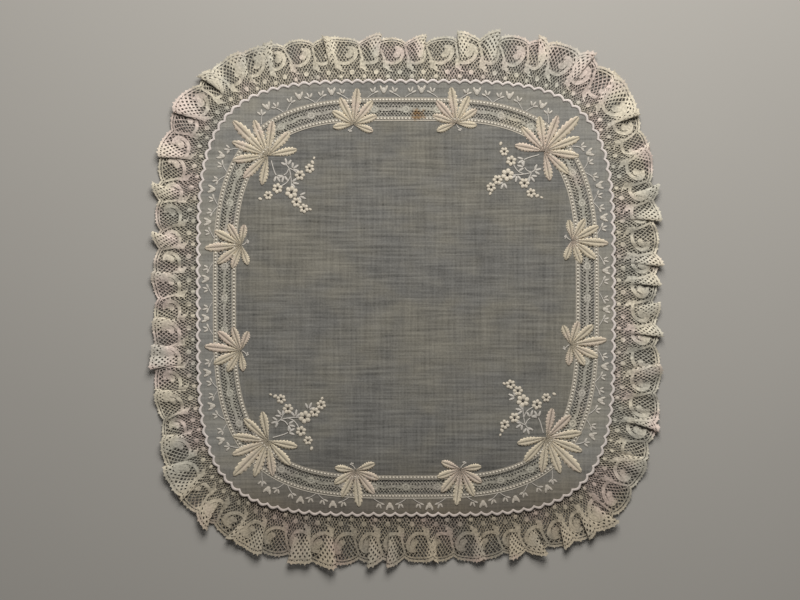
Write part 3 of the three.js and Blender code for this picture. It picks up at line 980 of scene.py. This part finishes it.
class HANDKERCHIEF_OT_scalloped_edge(bpy.types.Operator):
    """Satin stitch along the scalloped rim of the border"""

    bl_idname = "handkerchief.scalloped_edge"
    bl_label = "Scalloped Edge"

    SCALLOP_STEPS = 12
    SIDES = 8
    SET_IN = 0.6  # of its half width, in from the rim
    LIFT = 0.1  # of its middle above the linen
    HALF_HEIGHT = 0.45
    STITCH = 0.5

    def execute(self, context):
        u, v, faces = grid(SCALLOPS * self.SCALLOP_STEPS, self.SIDES)
        along = u * EDGE.length
        angle = -v * 2 * np.pi
        half = sizes("edge_width") / 2
        out = scalloped_out(along) - self.SET_IN * half + half * np.cos(angle)
        above = self.LIFT + self.HALF_HEIGHT * np.sin(angle)
        work = Work()
        work.add(on_cloth(EDGE.at(along, out), above), faces, np.stack([along, v], 1), 1.0)
        finish = stitched_finish("edge_stitch", "edge", "edge", self.STITCH)
        work.make("scalloped_edge", [finish], weld=True)
        return {"FINISHED"}


class HANDKERCHIEF_OT_veining(bpy.types.Operator):
    """The two beaded strips on both sides of the insertion"""

    bl_idname = "handkerchief.veining"
    bl_label = "Veining"

    STRIP_STEPS = 480
    STRIP_ROWS = 6
    STRIP_CURL = 0.15  # rise of the strip's rims, and sink of its middle
    LINE_POINTS = 2000
    BEAD_LENGTH = 1.05  # along and across the strip, as shares of its width
    BEAD_BREADTH = 0.95
    BEAD_SINK = 0.1
    BEAD_HEIGHT = 0.55
    STITCH = 0.4

    def execute(self, context):
        strip_finish = veining_finish()
        bead_finish = stitched_finish("bead_stitch", "bead", "bead", self.STITCH)
        for name, side in (("inner_veining", -1), ("outer_veining", 1)):
            self.strip(name, side, strip_finish)
            self.beads(name, side, bead_finish)
        return {"FINISHED"}

    def bead_count(self, side):
        line = BAND.ring(side * BEAD_OFFSET, self.LINE_POINTS)
        return round(np.hypot(*np.diff(line, axis=0).T).sum() / sizes("bead_pitch"))

    def strip(self, name, side, finish):
        u, v, faces = grid(self.STRIP_STEPS, self.STRIP_ROWS)
        offset = lerp(VEINING_INNER, VEINING_OUTER, v if side > 0 else 1 - v)
        height = VEINING_HEIGHT + self.STRIP_CURL * np.cos(2 * np.pi * v)
        place = np.concatenate([BAND.at(u * BAND.length, side * offset), height[:, None]], 1)
        surface = np.stack([u * self.bead_count(side) * sizes("bead_pitch"), offset], 1)
        work = Work()
        work.add(place, [face[::-1] for face in faces], surface)
        work.make(name + "_strip", [finish], name, weld=True)

    def beads(self, name, side, finish):
        points, faces = pad()
        halves = sizes("bead_width") / 2 * np.array([self.BEAD_LENGTH, self.BEAD_BREADTH])
        height = VEINING_HEIGHT - self.BEAD_SINK + self.BEAD_HEIGHT * points[:, 2:]
        count = self.bead_count(side)
        work = Work()
        for along in np.arange(count) / count * BAND.length:
            tangent = BAND.tangent(along)
            frame_of = np.array([tangent, (-tangent[1], tangent[0])])
            flat = points[:, :2] * halves @ frame_of
            place = BAND.at(along, side * BEAD_OFFSET) + flat
            work.add(np.concatenate([place, height], 1), faces, flat, 1.0)
        work.make(name + "_beads", [finish])


class HANDKERCHIEF_OT_insertion(bpy.types.Operator):
    """Ring of lace: a net with a winding band that swells to ovals, between two headings"""

    bl_idname = "handkerchief.insertion"
    bl_label = "Lace Insertion"

    GREYNESS = 0.2
    COLUMNS = 400
    ROWS = 3
    HOLE = 0.42
    NET_KIND = 0.2
    HEADING_POINTS = 481
    HEADING_LAP = 0.2  # how far the headings lie over the net
    HEADING_LIFT = 0.1
    HEADING_KIND = 0.1
    OVALS = 40
    OVAL_WIDTH = 4.4
    OVAL_HALF = 2.6
    BAND_STEPS = 28  # to each oval
    BAND_WIDTH = 1.6
    BAND_WAVE = 0.2  # how much its width comes and goes
    BAND_WINDING = 0.35  # how far the band strays from the middle
    BAND_LIFT = 0.12
    BAND_KIND = 0.05
    EYE_LIFT = 0.24
    EYE_HALVES = (1.6, 1.35)
    EYE_POINTS = 13
    EYE_WIDTH = 0.6
    EYE_KIND = 0.45
    DOT_HALVES = (0.6, 0.5)
    DOT_KIND = 0.4

    def execute(self, context):
        work = Work()
        self.net(work)
        self.headings(work)
        self.band(work)
        self.eyes(work)
        finish = lace_finish("insertion_thread", self.GREYNESS)
        piece = work.make("insertion_lace", [finish], "lace_insertion", smooth_faces=False)
        return {"FINISHED"}

    def net(self, work):
        size = np.array([BAND.length, 2 * NET_HALF])
        thread = thread_opening(*size / (self.COLUMNS, self.ROWS))
        add_net(
            work,
            net_shape(self.COLUMNS, self.ROWS),
            lambda shares: (shares - (0, 0.5)) * size,
            lambda middles: np.full(len(middles), thread),
            lambda middles: np.full(len(middles), self.HOLE),
            lambda flat, above: on_band(flat, INSERTION_HEIGHT + above),
            lambda flat: np.full(len(flat), self.NET_KIND),
        )

    def headings(self, work):
        along = np.linspace(0, BAND.length, self.HEADING_POINTS)
        middle = (NET_HALF - self.HEADING_LAP + HEADING_OUTER) / 2
        for side in (-1, 1):
            line = np.stack([along, np.full(len(along), side * middle)], 1)
            points, faces = ribbon(line, HEADING_OUTER - NET_HALF + self.HEADING_LAP)
            place = on_band(points, INSERTION_HEIGHT + self.HEADING_LIFT)
            work.add(place, faces, points, self.HEADING_KIND)

    def band(self, work):
        steps = self.OVALS * self.BAND_STEPS
        turn = np.linspace(0, 2 * np.pi * self.OVALS, steps + 1)
        along = np.linspace(0, BAND.length, steps + 1)
        from_oval = np.abs(np.mod(turn + np.pi, 2 * np.pi) - np.pi) / (2 * np.pi)
        near = np.maximum(0, 1 - (from_oval * BAND.length / self.OVALS / self.OVAL_HALF) ** 2) ** 0.5
        narrow = self.BAND_WIDTH * (1 + self.BAND_WAVE * np.cos(4 * turn))
        line = np.stack([along, self.BAND_WINDING * np.sin(2 * turn) * (1 - near)], 1)
        points, faces = ribbon(line, np.maximum(self.OVAL_WIDTH * near, narrow))
        work.add(on_band(points, INSERTION_HEIGHT + self.BAND_LIFT), faces, points, self.BAND_KIND)

    def eyes(self, work):
        """A raised ring and a dot on each oval."""
        circle = [heading(a) * self.EYE_HALVES for a in np.linspace(0, 2 * np.pi, self.EYE_POINTS)]
        ring = ribbon(curve_through(circle, self.EYE_WIDTH), self.EYE_WIDTH)
        shapes = ((*ring, self.EYE_KIND), (*disc(0, 0, *self.DOT_HALVES), self.DOT_KIND))
        for start in np.arange(self.OVALS) * BAND.length / self.OVALS:
            for points, faces, kind in shapes:
                placed = points + (start, 0)
                work.add(on_band(placed, INSERTION_HEIGHT + self.EYE_LIFT), faces, placed, kind)


class HANDKERCHIEF_OT_frill(bpy.types.Operator):
    """Gathered lace frill: net, scrolls, dots, a rim on each arch, and picots"""

    bl_idname = "handkerchief.frill"
    bl_label = "Lace Frill"

    NET_COLUMNS = 8  # to each repeat
    NET_ROWS = 9
    NET_KIND = 0.15
    HOLE = 0.5
    # Painted light: the doubled net in the pleats is painted brighter than the single net
    PLEAT_LIGHT_KIND = 0.7
    PLEAT_THREAD = 0.56  # openings of the net where it is doubled
    PLEAT_HOLE = 0.33
    # The figures in the pleats take on part of that painted light
    PLEAT_SHOWS = 0.7  # how far the figures take on the pleats' kind
    # The figures of one repeat, as places along and across the flat lace
    FIGURE_LIFT = 0.14
    FIGURE_KIND = 0.25
    SCROLL = (
        (3.0, 12.8), (6.8, 11.8), (10.8, 12.5), (14.0, 15.0), (15.0, 18.6), (13.2, 21.6), (10.2, 21.6),
    )
    SCROLL_WIDTHS = ((0, 0.3, 0.7, 1), (1.5, 2.1, 2.4, 1.8))  # at shares of its length
    STEM = ((16.7, 22.6), (17.7, 19.6), (18.6, 16.4), (19.4, 13.2))
    STEM_WIDTHS = (1.2, 1.7)  # from its first point to its last
    TWIG = ((3.0, 9.2), (5.2, 7.6), (7.6, 7.0))
    TWIG_WIDTHS = (1.2, 0.6)
    # Centre along and across, half length, half width and turn of the solid ovals
    OVALS = (
        (12.0, 18.8, 2.6, 1.7, 1.1), (10.6, 16.8, 2.3, 1.7, 0.2), (2.7, 10.9, 2.5, 1.9, 0.9),
        (4.4, 9.0, 1.5, 1.1, 0.4), (1.8, 13.0, 1.4, 1.3, 0.0),
    )
    DOTS = ((12.6, 6.6, 1.8, 1.5), (4.4, 4.2, 1.5, 1.2))
    DOT_KIND = 0.3
    # Distance in from the rim, width and kind of the lines that follow it
    RIMS = ((0.45, 1.1, 0.4), (2.1, 0.7, 0.25))
    RIM_POINTS = 25
    PICOTS = 10
    PICOT_SEED = 3
    PICOT_LENGTHS = (0.35, 1.15)  # least and most, as shares of the full one
    PICOT_HALF = 0.4  # half of a picot's width, as a share of its pitch
    PICOT_FOOT = 0.2  # how far its foot reaches in over the rim
    PICOT_KIND = 0.55

    def execute(self, context):
        work = Work()
        self.net(work)
        self.figures(work)
        finish = lace_finish("frill_thread", 0.0)
        piece = work.make("frill_lace", [finish], "lace_frill", smooth_faces=False)
        return {"FINISHED"}

    def top(self, along):
        """Width of the flat lace at distances along it."""
        arch = np.abs(np.sin(np.pi * along / REPEAT)) ** ARCH_POWER
        return LACE_WIDTH - ARCH_DEPTH * (1 - arch)

    def lay_flat(self, shares):
        along = shares[:, 0] * LACE_LENGTH
        return np.stack([along, shares[:, 1] * self.top(along)], 1)

    def net(self, work):
        single = thread_opening(REPEAT / self.NET_COLUMNS, LACE_WIDTH / self.NET_ROWS)
        add_net(
            work,
            net_shape(REPEATS * self.NET_COLUMNS, self.NET_ROWS),
            self.lay_flat,
            lambda middles: lerp(single, self.PLEAT_THREAD, pleat_share(middles)),
            lambda middles: lerp(self.HOLE, self.PLEAT_HOLE, pleat_share(middles)),
            on_frill,
            lambda flat: lerp(self.NET_KIND, self.PLEAT_LIGHT_KIND, pleat_share(flat)),
        )

    def rim(self, inside, width):
        along = np.linspace(0, REPEAT, self.RIM_POINTS)
        return ribbon(np.stack([along, self.top(along) - inside], 1), width)

    def picots(self):
        points, faces = [], []
        pitch = REPEAT / self.PICOTS
        shares = np.random.default_rng(self.PICOT_SEED).uniform(*self.PICOT_LENGTHS, self.PICOTS)
        side = self.PICOT_HALF * pitch
        for along, height in zip((np.arange(self.PICOTS) + 0.5) * pitch, sizes("picot") * shares):
            corner = len(points)
            places = ((along - side, 0.0), (along, self.PICOT_FOOT), (along + side, 0.0), (along, height))
            points += [(x, self.top(np.array(x)) + lift - self.PICOT_FOOT) for x, lift in places]
            faces.append(range(corner, corner + 4))
        return np.array(points, float), faces

    def repeat(self):
        """The figures of one repeat of the lace: points of the flat lace, faces and kinds."""
        line = curve_through(self.SCROLL)
        shapes = [ribbon(line, np.interp(np.linspace(0, 1, len(line)), *self.SCROLL_WIDTHS))]
        for points, widths in ((self.STEM, self.STEM_WIDTHS), (self.TWIG, self.TWIG_WIDTHS)):
            line = curve_through(points)
            shapes.append(ribbon(line, np.linspace(*widths, len(line))))
        shapes += [disc(*oval) for oval in self.OVALS]
        figures = [(*shape, self.FIGURE_KIND) for shape in shapes]
        figures += [(*disc(*dot), self.DOT_KIND) for dot in self.DOTS]
        figures += [(*self.rim(inside, width), kind) for inside, width, kind in self.RIMS]
        return [*figures, (*self.picots(), self.PICOT_KIND)]

    def figures(self, work):
        repeat = self.repeat()
        for start in np.arange(REPEATS) * REPEAT:
            for points, faces, kind in repeat:
                placed = points + (start, 0)
                shown = lerp(kind, self.PLEAT_LIGHT_KIND, self.PLEAT_SHOWS * pleat_share(placed))
                work.add(on_frill(placed, self.FIGURE_LIFT), faces, placed, shown)


class HANDKERCHIEF_OT_leaves(bpy.types.Operator):
    """Twelve padded leaves, four at the corners and two on each side"""

    bl_idname = "handkerchief.leaves"
    bl_label = "Leaves"

    COLUMNS = 8
    TEETH = 9
    TOOTH_STEPS = 5
    TOOTH = 0.42  # depth of the teeth as a share of the half width
    TOOTH_POWER = 3  # they fade towards the vein
    ROOT = 1.5  # powers of the leaflet's outline towards its root and its tip
    TIP = 0.75
    NECK = 0.1  # least width, as a share of the full one
    AT_TIP = 0.999  # share of the length from which a point belongs to the very tip
    POINT = 0.05  # half width there
    FULLNESS = 0.98  # width with the teeth, as a share of the leaflet's own
    VEIN = 0.1  # share of a half's width that the groove along the vein takes up
    CREST_POWER = 0.6
    CREST_FROM = 0.45  # height of the crest where the leaflet is narrow, and what its width adds
    CREST_GAIN = 0.7
    LIFT = 0.08
    AT_RIM = 0.99  # share of the half width from which a point belongs to the rim
    RIM = -0.05  # height there, which closes the pad to the linen
    EYELET = 0.25
    EYELET_HEIGHT = 0.7

    def execute(self, context):
        finishes = [leaf_finish(), plain_finish("leaf_eyelet_shade", "eyelet_shade", 0.9)]
        for leaves, leaflets in ((CORNER_LEAVES, CORNER_LEAFLETS), (SIDE_LEAVES, SIDE_LEAFLETS)):
            for name, (x, y, points) in leaves.items():
                work = Work()
                for turn, length, width in leaflets:
                    for side in (1, -1) if turn else (1,):
                        direction = math.radians(points + side * turn)
                        self.leaflet(work, (x, y), direction, length, width)
                # A dark disc at the hub: painted shade in place of the pierced eyelet
                rim, faces = disc(x, y, self.EYELET, self.EYELET)
                work.add(on_cloth(rim, self.EYELET_HEIGHT), faces, finish=1)
                piece = work.make(name + "_stitched", finishes, name)
        return {"FINISHED"}

    def leaflet(self, work, centre, direction, length, width):
        u, v, faces = grid(self.COLUMNS, self.TEETH * self.TOOTH_STEPS)
        beside = 2 * u - 1
        outline = v**self.ROOT * np.maximum(1 - v, 0) ** self.TIP
        outline = lerp(self.NECK, 1, outline / outline.max())
        tooth = self.TOOTH * (np.mod(self.TEETH * v, 1) - 0.5)
        half = self.FULLNESS * width / 2 * outline * (1 + tooth * np.abs(beside) ** self.TOOTH_POWER)
        half = np.where(v > self.AT_TIP, self.POINT, half)
        rise = np.sin(np.pi * lerp(self.VEIN, 1, np.abs(beside)))
        crest = sizes("leaf_crest") * np.minimum(1, self.CREST_FROM + self.CREST_GAIN * outline)
        above = self.LIFT + crest * np.maximum(rise, 0) ** self.CREST_POWER
        above = np.where(np.abs(beside) > self.AT_RIM, self.RIM, above)
        place = toward(centre, direction, np.stack([v * length, -beside * half], 1))
        work.add(on_cloth(place, above), faces, np.stack([u, v * length / LEAF_SCALE], 1))


class HANDKERCHIEF_OT_sprays(bpy.types.Operator):
    """A spray of six-petalled flowers inside each corner, and the stalks of the side leaves"""

    bl_idname = "handkerchief.sprays"
    bl_label = "Flower Sprays"

    STITCH = 0.4
    # Inwards from the corner leaf's centre, to the left of that direction, and radius
    FLOWERS = (
        (20.8, 4.9, 3.0), (22.0, 11.5, 2.8), (24.2, -5.2, 3.7), (30.2, -7.2, 2.9), (35.7, -6.8, 2.8),
        (17.1, -9.3, 3.0), (16.2, -15.8, 2.6),
    )
    # The parts of a flower, as shares of its radius, and their heights
    PETALS = 6
    PETAL_OUT = 0.62
    PETAL_HALVES = (0.44, 0.4)
    PETAL_HEIGHT = 0.6
    EYE = 0.15
    EYE_HEIGHT = 0.5
    FLOWER_TURN = 0.7  # from each flower to the next
    # Inwards, to the left, and length
    BUDS = ((20.7, 15.1, 2.8), (19.6, 17.5, 2.0), (38.6, -4.6, 2.2), (14.4, -20.4, 2.6))
    BUD_WIDTH = 0.38
    BUD_HEIGHT = 0.5
    BUD_TURN = 0.9
    STEMS = (
        ((3.4, -0.6), (6.2, -2.2), (9.2, -3.8), (11.4, -4.6)),
        ((10.0, 3.8), (13.5, 3.4), (17.2, 1.2), (20.8, -1.8), (22.6, -3.6)),
        ((17.2, 1.2), (18.4, -2.0), (18.2, -5.0), (17.4, -7.4)),
        ((13.5, 3.4), (14.6, 1.0), (14.4, -1.4)),
        ((13.5, 3.4), (16.2, 4.4), (19.0, 4.6)),
    )
    STEM_KIND = 0.15
    # Foot inwards and to the left, and direction in degrees from inwards
    SPRIGS = (
        (11.4, -4.6, -15), (14.4, -1.4, -60), (15.4, 4.2, 80), (20.4, -1.4, 35), (28.6, -3.6, 20),
        (12.0, 3.7, 150),
    )
    SPRIG_SIZES = (4.4, 0.85, 1.6)  # length, spread and width of its leaves
    STALK = ((0.8, 0.0), (2.0, -0.5), (3.2, -1.5), (3.8, -2.6))
    STALK_KIND = 0.3
    STALK_LEAN = 0.2
    STALK_LEAF = 1.4

    def execute(self, context):
        finishes = [
            stitched_finish("flower_stitch", "thread", "fine_thread", self.STITCH),
            plain_finish("flower_eyelet_shade", "eyelet_shade", 0.9),
        ]
        for number, (x, y, points) in enumerate(CORNER_LEAVES.values(), 1):
            work = Work()
            self.spray(work, (x, y), math.radians(points + 180))
            work.make(f"corner_spray_{number}", finishes)
        work = Work()
        for number, (x, y, points) in enumerate(SIDE_LEAVES.values()):
            self.stalk(work, (x, y), math.radians(points + 180), -1 if number % 2 else 1)
        work.make("leaf_stalks", finishes)
        return {"FINISHED"}

    def spray(self, work, centre, inwards):
        for stem in self.STEMS:
            add_stem(work, toward(centre, inwards, stem), sizes("stem_width"), self.STEM_KIND)
        for i, j, turn in self.SPRIGS:
            foot = toward(centre, inwards, (i, j))
            add_sprig(work, foot, inwards + math.radians(turn), *self.SPRIG_SIZES)
        for number, (i, j, radius) in enumerate(self.FLOWERS):
            self.flower(work, toward(centre, inwards, (i, j)), radius, number * self.FLOWER_TURN)
        for i, j, length in self.BUDS:
            place = toward(centre, inwards, (i, j))
            halves = (length / 2, length * self.BUD_WIDTH)
            add_pad(work, place, *halves, self.BUD_HEIGHT, inwards + self.BUD_TURN * i)

    def flower(self, work, centre, radius, turn):
        for angle in turn + np.arange(self.PETALS) * 2 * np.pi / self.PETALS:
            place = centre + self.PETAL_OUT * radius * heading(angle)
            halves = (radius * half for half in self.PETAL_HALVES)
            add_pad(work, place, *halves, self.PETAL_HEIGHT, angle)
        # A dark disc at the middle: painted shade in place of the pierced eyelet
        points, faces = disc(*centre, self.EYE * radius, self.EYE * radius)
        work.add(on_cloth(points, self.EYE_HEIGHT), faces, finish=1)

    def stalk(self, work, centre, inwards, side):
        line = np.array(self.STALK) * (1, side)
        add_stem(work, toward(centre, inwards, line), sizes("stem_width"), self.STALK_KIND)
        foot = toward(centre, inwards, line[2])
        add_sprig(work, foot, inwards - self.STALK_LEAN * side, self.STALK_LEAF)


class HANDKERCHIEF_OT_garland(bpy.types.Operator):
    """Garland of small three-lobed flowers on the border, between the leaves"""

    bl_idname = "handkerchief.garland"
    bl_label = "Garland"

    STITCH = 0.4
    # Places of the flowers between two leaf tips, as shares of the way from one to the other
    BETWEEN_SIDES = (0.29, 0.68)
    FROM_SIDE = (0.18, 0.425, 0.695)
    FLOWER_IN = 0.56  # share of the border's width, in from the edge
    FLOWER_KIND = 0.5
    FLOWER_HEIGHT = 0.4
    PETAL_BESIDE = 1.35
    PETAL_OUT = 0.9
    PETAL_HALVES = (2.1, 0.85)
    PETAL_LEAN = 0.4
    BASE_IN = 0.2
    BASE_HALVES = (1.9, 1.5)
    # Distances along the edge from the flower, and shares of the border's width
    STEM = ((3.8, 0.66), (5.6, 0.74), (7.6, 0.86), (9.2, 0.98))
    STEM_SHARE = 0.8  # of the other stems' width
    STEM_KIND = 0.1
    SPRIG = (6.0, 0.74, 1.9)  # with the direction that it opens in
    SPRIG_SIZES = (3.6, 0.85, 1.4, 0.35)  # length, spread, width and kind of its leaves

    def execute(self, context):
        work = Work()
        tips = []
        for leaves, tip in ((CORNER_LEAVES, CORNER_LEAFLETS[0][1]), (SIDE_LEAVES, SIDE_LEAFLETS[0][1])):
            for x, y, points in leaves.values():
                along = EDGE.along(*((x, y) + tip * heading(math.radians(points))))
                tips.append((float(along), leaves is CORNER_LEAVES))
        tips.sort()
        for (start, from_corner), (end, to_corner) in zip(tips, tips[1:] + [tips[0]]):
            length = (end - start) % EDGE.length
            shares = self.FROM_SIDE if from_corner or to_corner else self.BETWEEN_SIDES
            for share in shares:
                self.wave(work, start + length * (1 - share if from_corner else share))
        finish = stitched_finish("garland_stitch", "thread", "fine_thread", self.STITCH)
        work.make("border_garland", [finish])
        return {"FINISHED"}

    def place(self, along, inside):
        """Points at distances along the edge, and shares of the way in to the veining."""
        x, y = EDGE.at(along, 0.0).T
        width = np.hypot(x, y) - BAND.radius(np.arctan2(y, x)) - VEINING_OUTER
        return EDGE.at(along, -inside * width)

    def wave(self, work, middle):
        """One flower, with a sprig and a stem that runs down to the veining on both sides."""
        tangent = EDGE.tangent(middle)
        forward = math.atan2(tangent[1], tangent[0])
        steps, shares = np.array(self.STEM).T
        along, inside, turn = self.SPRIG
        for side in (-1, 1):
            line = self.place(middle + side * steps, shares)
            add_stem(work, line, self.STEM_SHARE * sizes("stem_width"), self.STEM_KIND)
            foot = self.place(middle + side * along, inside)
            opens = forward + (turn if side > 0 else math.pi - turn)
            add_sprig(work, foot, opens, *self.SPRIG_SIZES)
        self.flower(work, middle, forward)

    def flower(self, work, middle, forward):
        """A small tulip: two petals that lean apart over a round base."""
        centre = self.place(middle, self.FLOWER_IN)
        outward = forward + math.pi / 2
        right, out = heading(forward), heading(outward)
        look = (self.FLOWER_HEIGHT, outward, self.FLOWER_KIND)
        for side in (-1, 1):
            petal = centre + side * self.PETAL_BESIDE * right + self.PETAL_OUT * out
            lean = outward - side * self.PETAL_LEAN
            add_pad(work, petal, *self.PETAL_HALVES, self.FLOWER_HEIGHT, lean, self.FLOWER_KIND)
        add_pad(work, centre - self.BASE_IN * out, *self.BASE_HALVES, *look)


class HANDKERCHIEF_OT_stage(bpy.types.Operator):
    """Plain floor, soft light from beyond the top edge and a camera straight above"""

    bl_idname = "handkerchief.stage"
    bl_label = "Stage"

    # The camera, in millimetres
    VIEW_CENTRE = (-3.34, -1.1)
    VIEW_WIDTH = 452.8
    LENS = 85.0
    SENSOR = 36.0
    # The light and the floor, in metres and watts
    KEY_PLACE = (0.1, 0.63, 0.62)
    KEY_SIZE = 0.5
    KEY_POWER = 11.5
    SKY = 0.12
    FLOOR_HALF = 3.0
    FLOOR_ROUGHNESS = 0.95
    FLOOR_UNEVENNESS = 0.04

    def execute(self, context):
        scene = context.scene
        scene.view_settings.view_transform = "Standard"
        shape = bmesh.new()
        bmesh.ops.create_grid(shape, x_segments=1, y_segments=1, size=self.FLOOR_HALF)
        mesh = bpy.data.meshes.new("floor")
        shape.to_mesh(mesh)
        shape.free()
        finish = plain_finish("floor_paint", "floor", self.FLOOR_ROUGHNESS, self.FLOOR_UNEVENNESS)
        mesh.materials.append(finish)
        floor = bpy.data.objects.new("floor", mesh)
        scene.collection.objects.link(floor)
        self.light(scene)
        self.camera(scene)
        return {"FINISHED"}

    def light(self, scene):
        key = bpy.data.lights.new("key", "AREA")
        key.size, key.energy = self.KEY_SIZE, self.KEY_POWER
        lamp = bpy.data.objects.new("key", key)
        lamp.location = self.KEY_PLACE
        lamp.rotation_euler = (-lamp.location).to_track_quat("-Z", "Y").to_euler()
        scene.collection.objects.link(lamp)
        world = bpy.data.worlds.new("studio")
        world.use_nodes = True
        sky = world.node_tree.nodes["Background"]
        sky.inputs["Color"].default_value = (1.0, 1.0, 1.0, 1.0)
        sky.inputs["Strength"].default_value = self.SKY
        scene.world = world

    def camera(self, scene):
        data = bpy.data.cameras.new("overhead")
        data.lens, data.sensor_width = self.LENS, self.SENSOR
        camera = bpy.data.objects.new("overhead", data)
        height = self.VIEW_WIDTH * self.LENS / self.SENSOR
        camera.location = [side * MM for side in (*self.VIEW_CENTRE, height)]
        scene.collection.objects.link(camera)
        scene.camera = camera


OPERATORS = (
    HANDKERCHIEF_OT_stage,
    HANDKERCHIEF_OT_linen,
    HANDKERCHIEF_OT_scalloped_edge,
    HANDKERCHIEF_OT_veining,
    HANDKERCHIEF_OT_insertion,
    HANDKERCHIEF_OT_frill,
    HANDKERCHIEF_OT_leaves,
    HANDKERCHIEF_OT_sprays,
    HANDKERCHIEF_OT_garland,
)


class HANDKERCHIEF_PT_pieces(bpy.types.Panel):
    """Buttons for the pieces, and their sizes and colours"""

    bl_label = "Handkerchief"
    bl_space_type = "VIEW_3D"
    bl_region_type = "UI"
    bl_category = "Handkerchief"

    def draw(self, context):
        for settings in (context.scene.handkerchief_sizes, context.scene.handkerchief_colours):
            column = self.layout.column(align=True)
            for name in settings.__annotations__:
                column.prop(settings, name)
        for operator in OPERATORS:
            self.layout.operator(operator.bl_idname)


CLASSES = (HandkerchiefSizes, HandkerchiefColours, *OPERATORS, HANDKERCHIEF_PT_pieces)


def register():
    for cls in CLASSES:
        bpy.utils.register_class(cls)
    bpy.types.Scene.handkerchief_sizes = bpy.props.PointerProperty(type=HandkerchiefSizes)
    bpy.types.Scene.handkerchief_colours = bpy.props.PointerProperty(type=HandkerchiefColours)


def unregister():
    del bpy.types.Scene.handkerchief_colours
    del bpy.types.Scene.handkerchief_sizes
    for cls in reversed(CLASSES):
        bpy.utils.unregister_class(cls)


def main():
    register()
    for operator in OPERATORS:
        getattr(bpy.ops.handkerchief, operator.bl_idname.split(".")[1])()


if __name__ == "__main__":
    main()
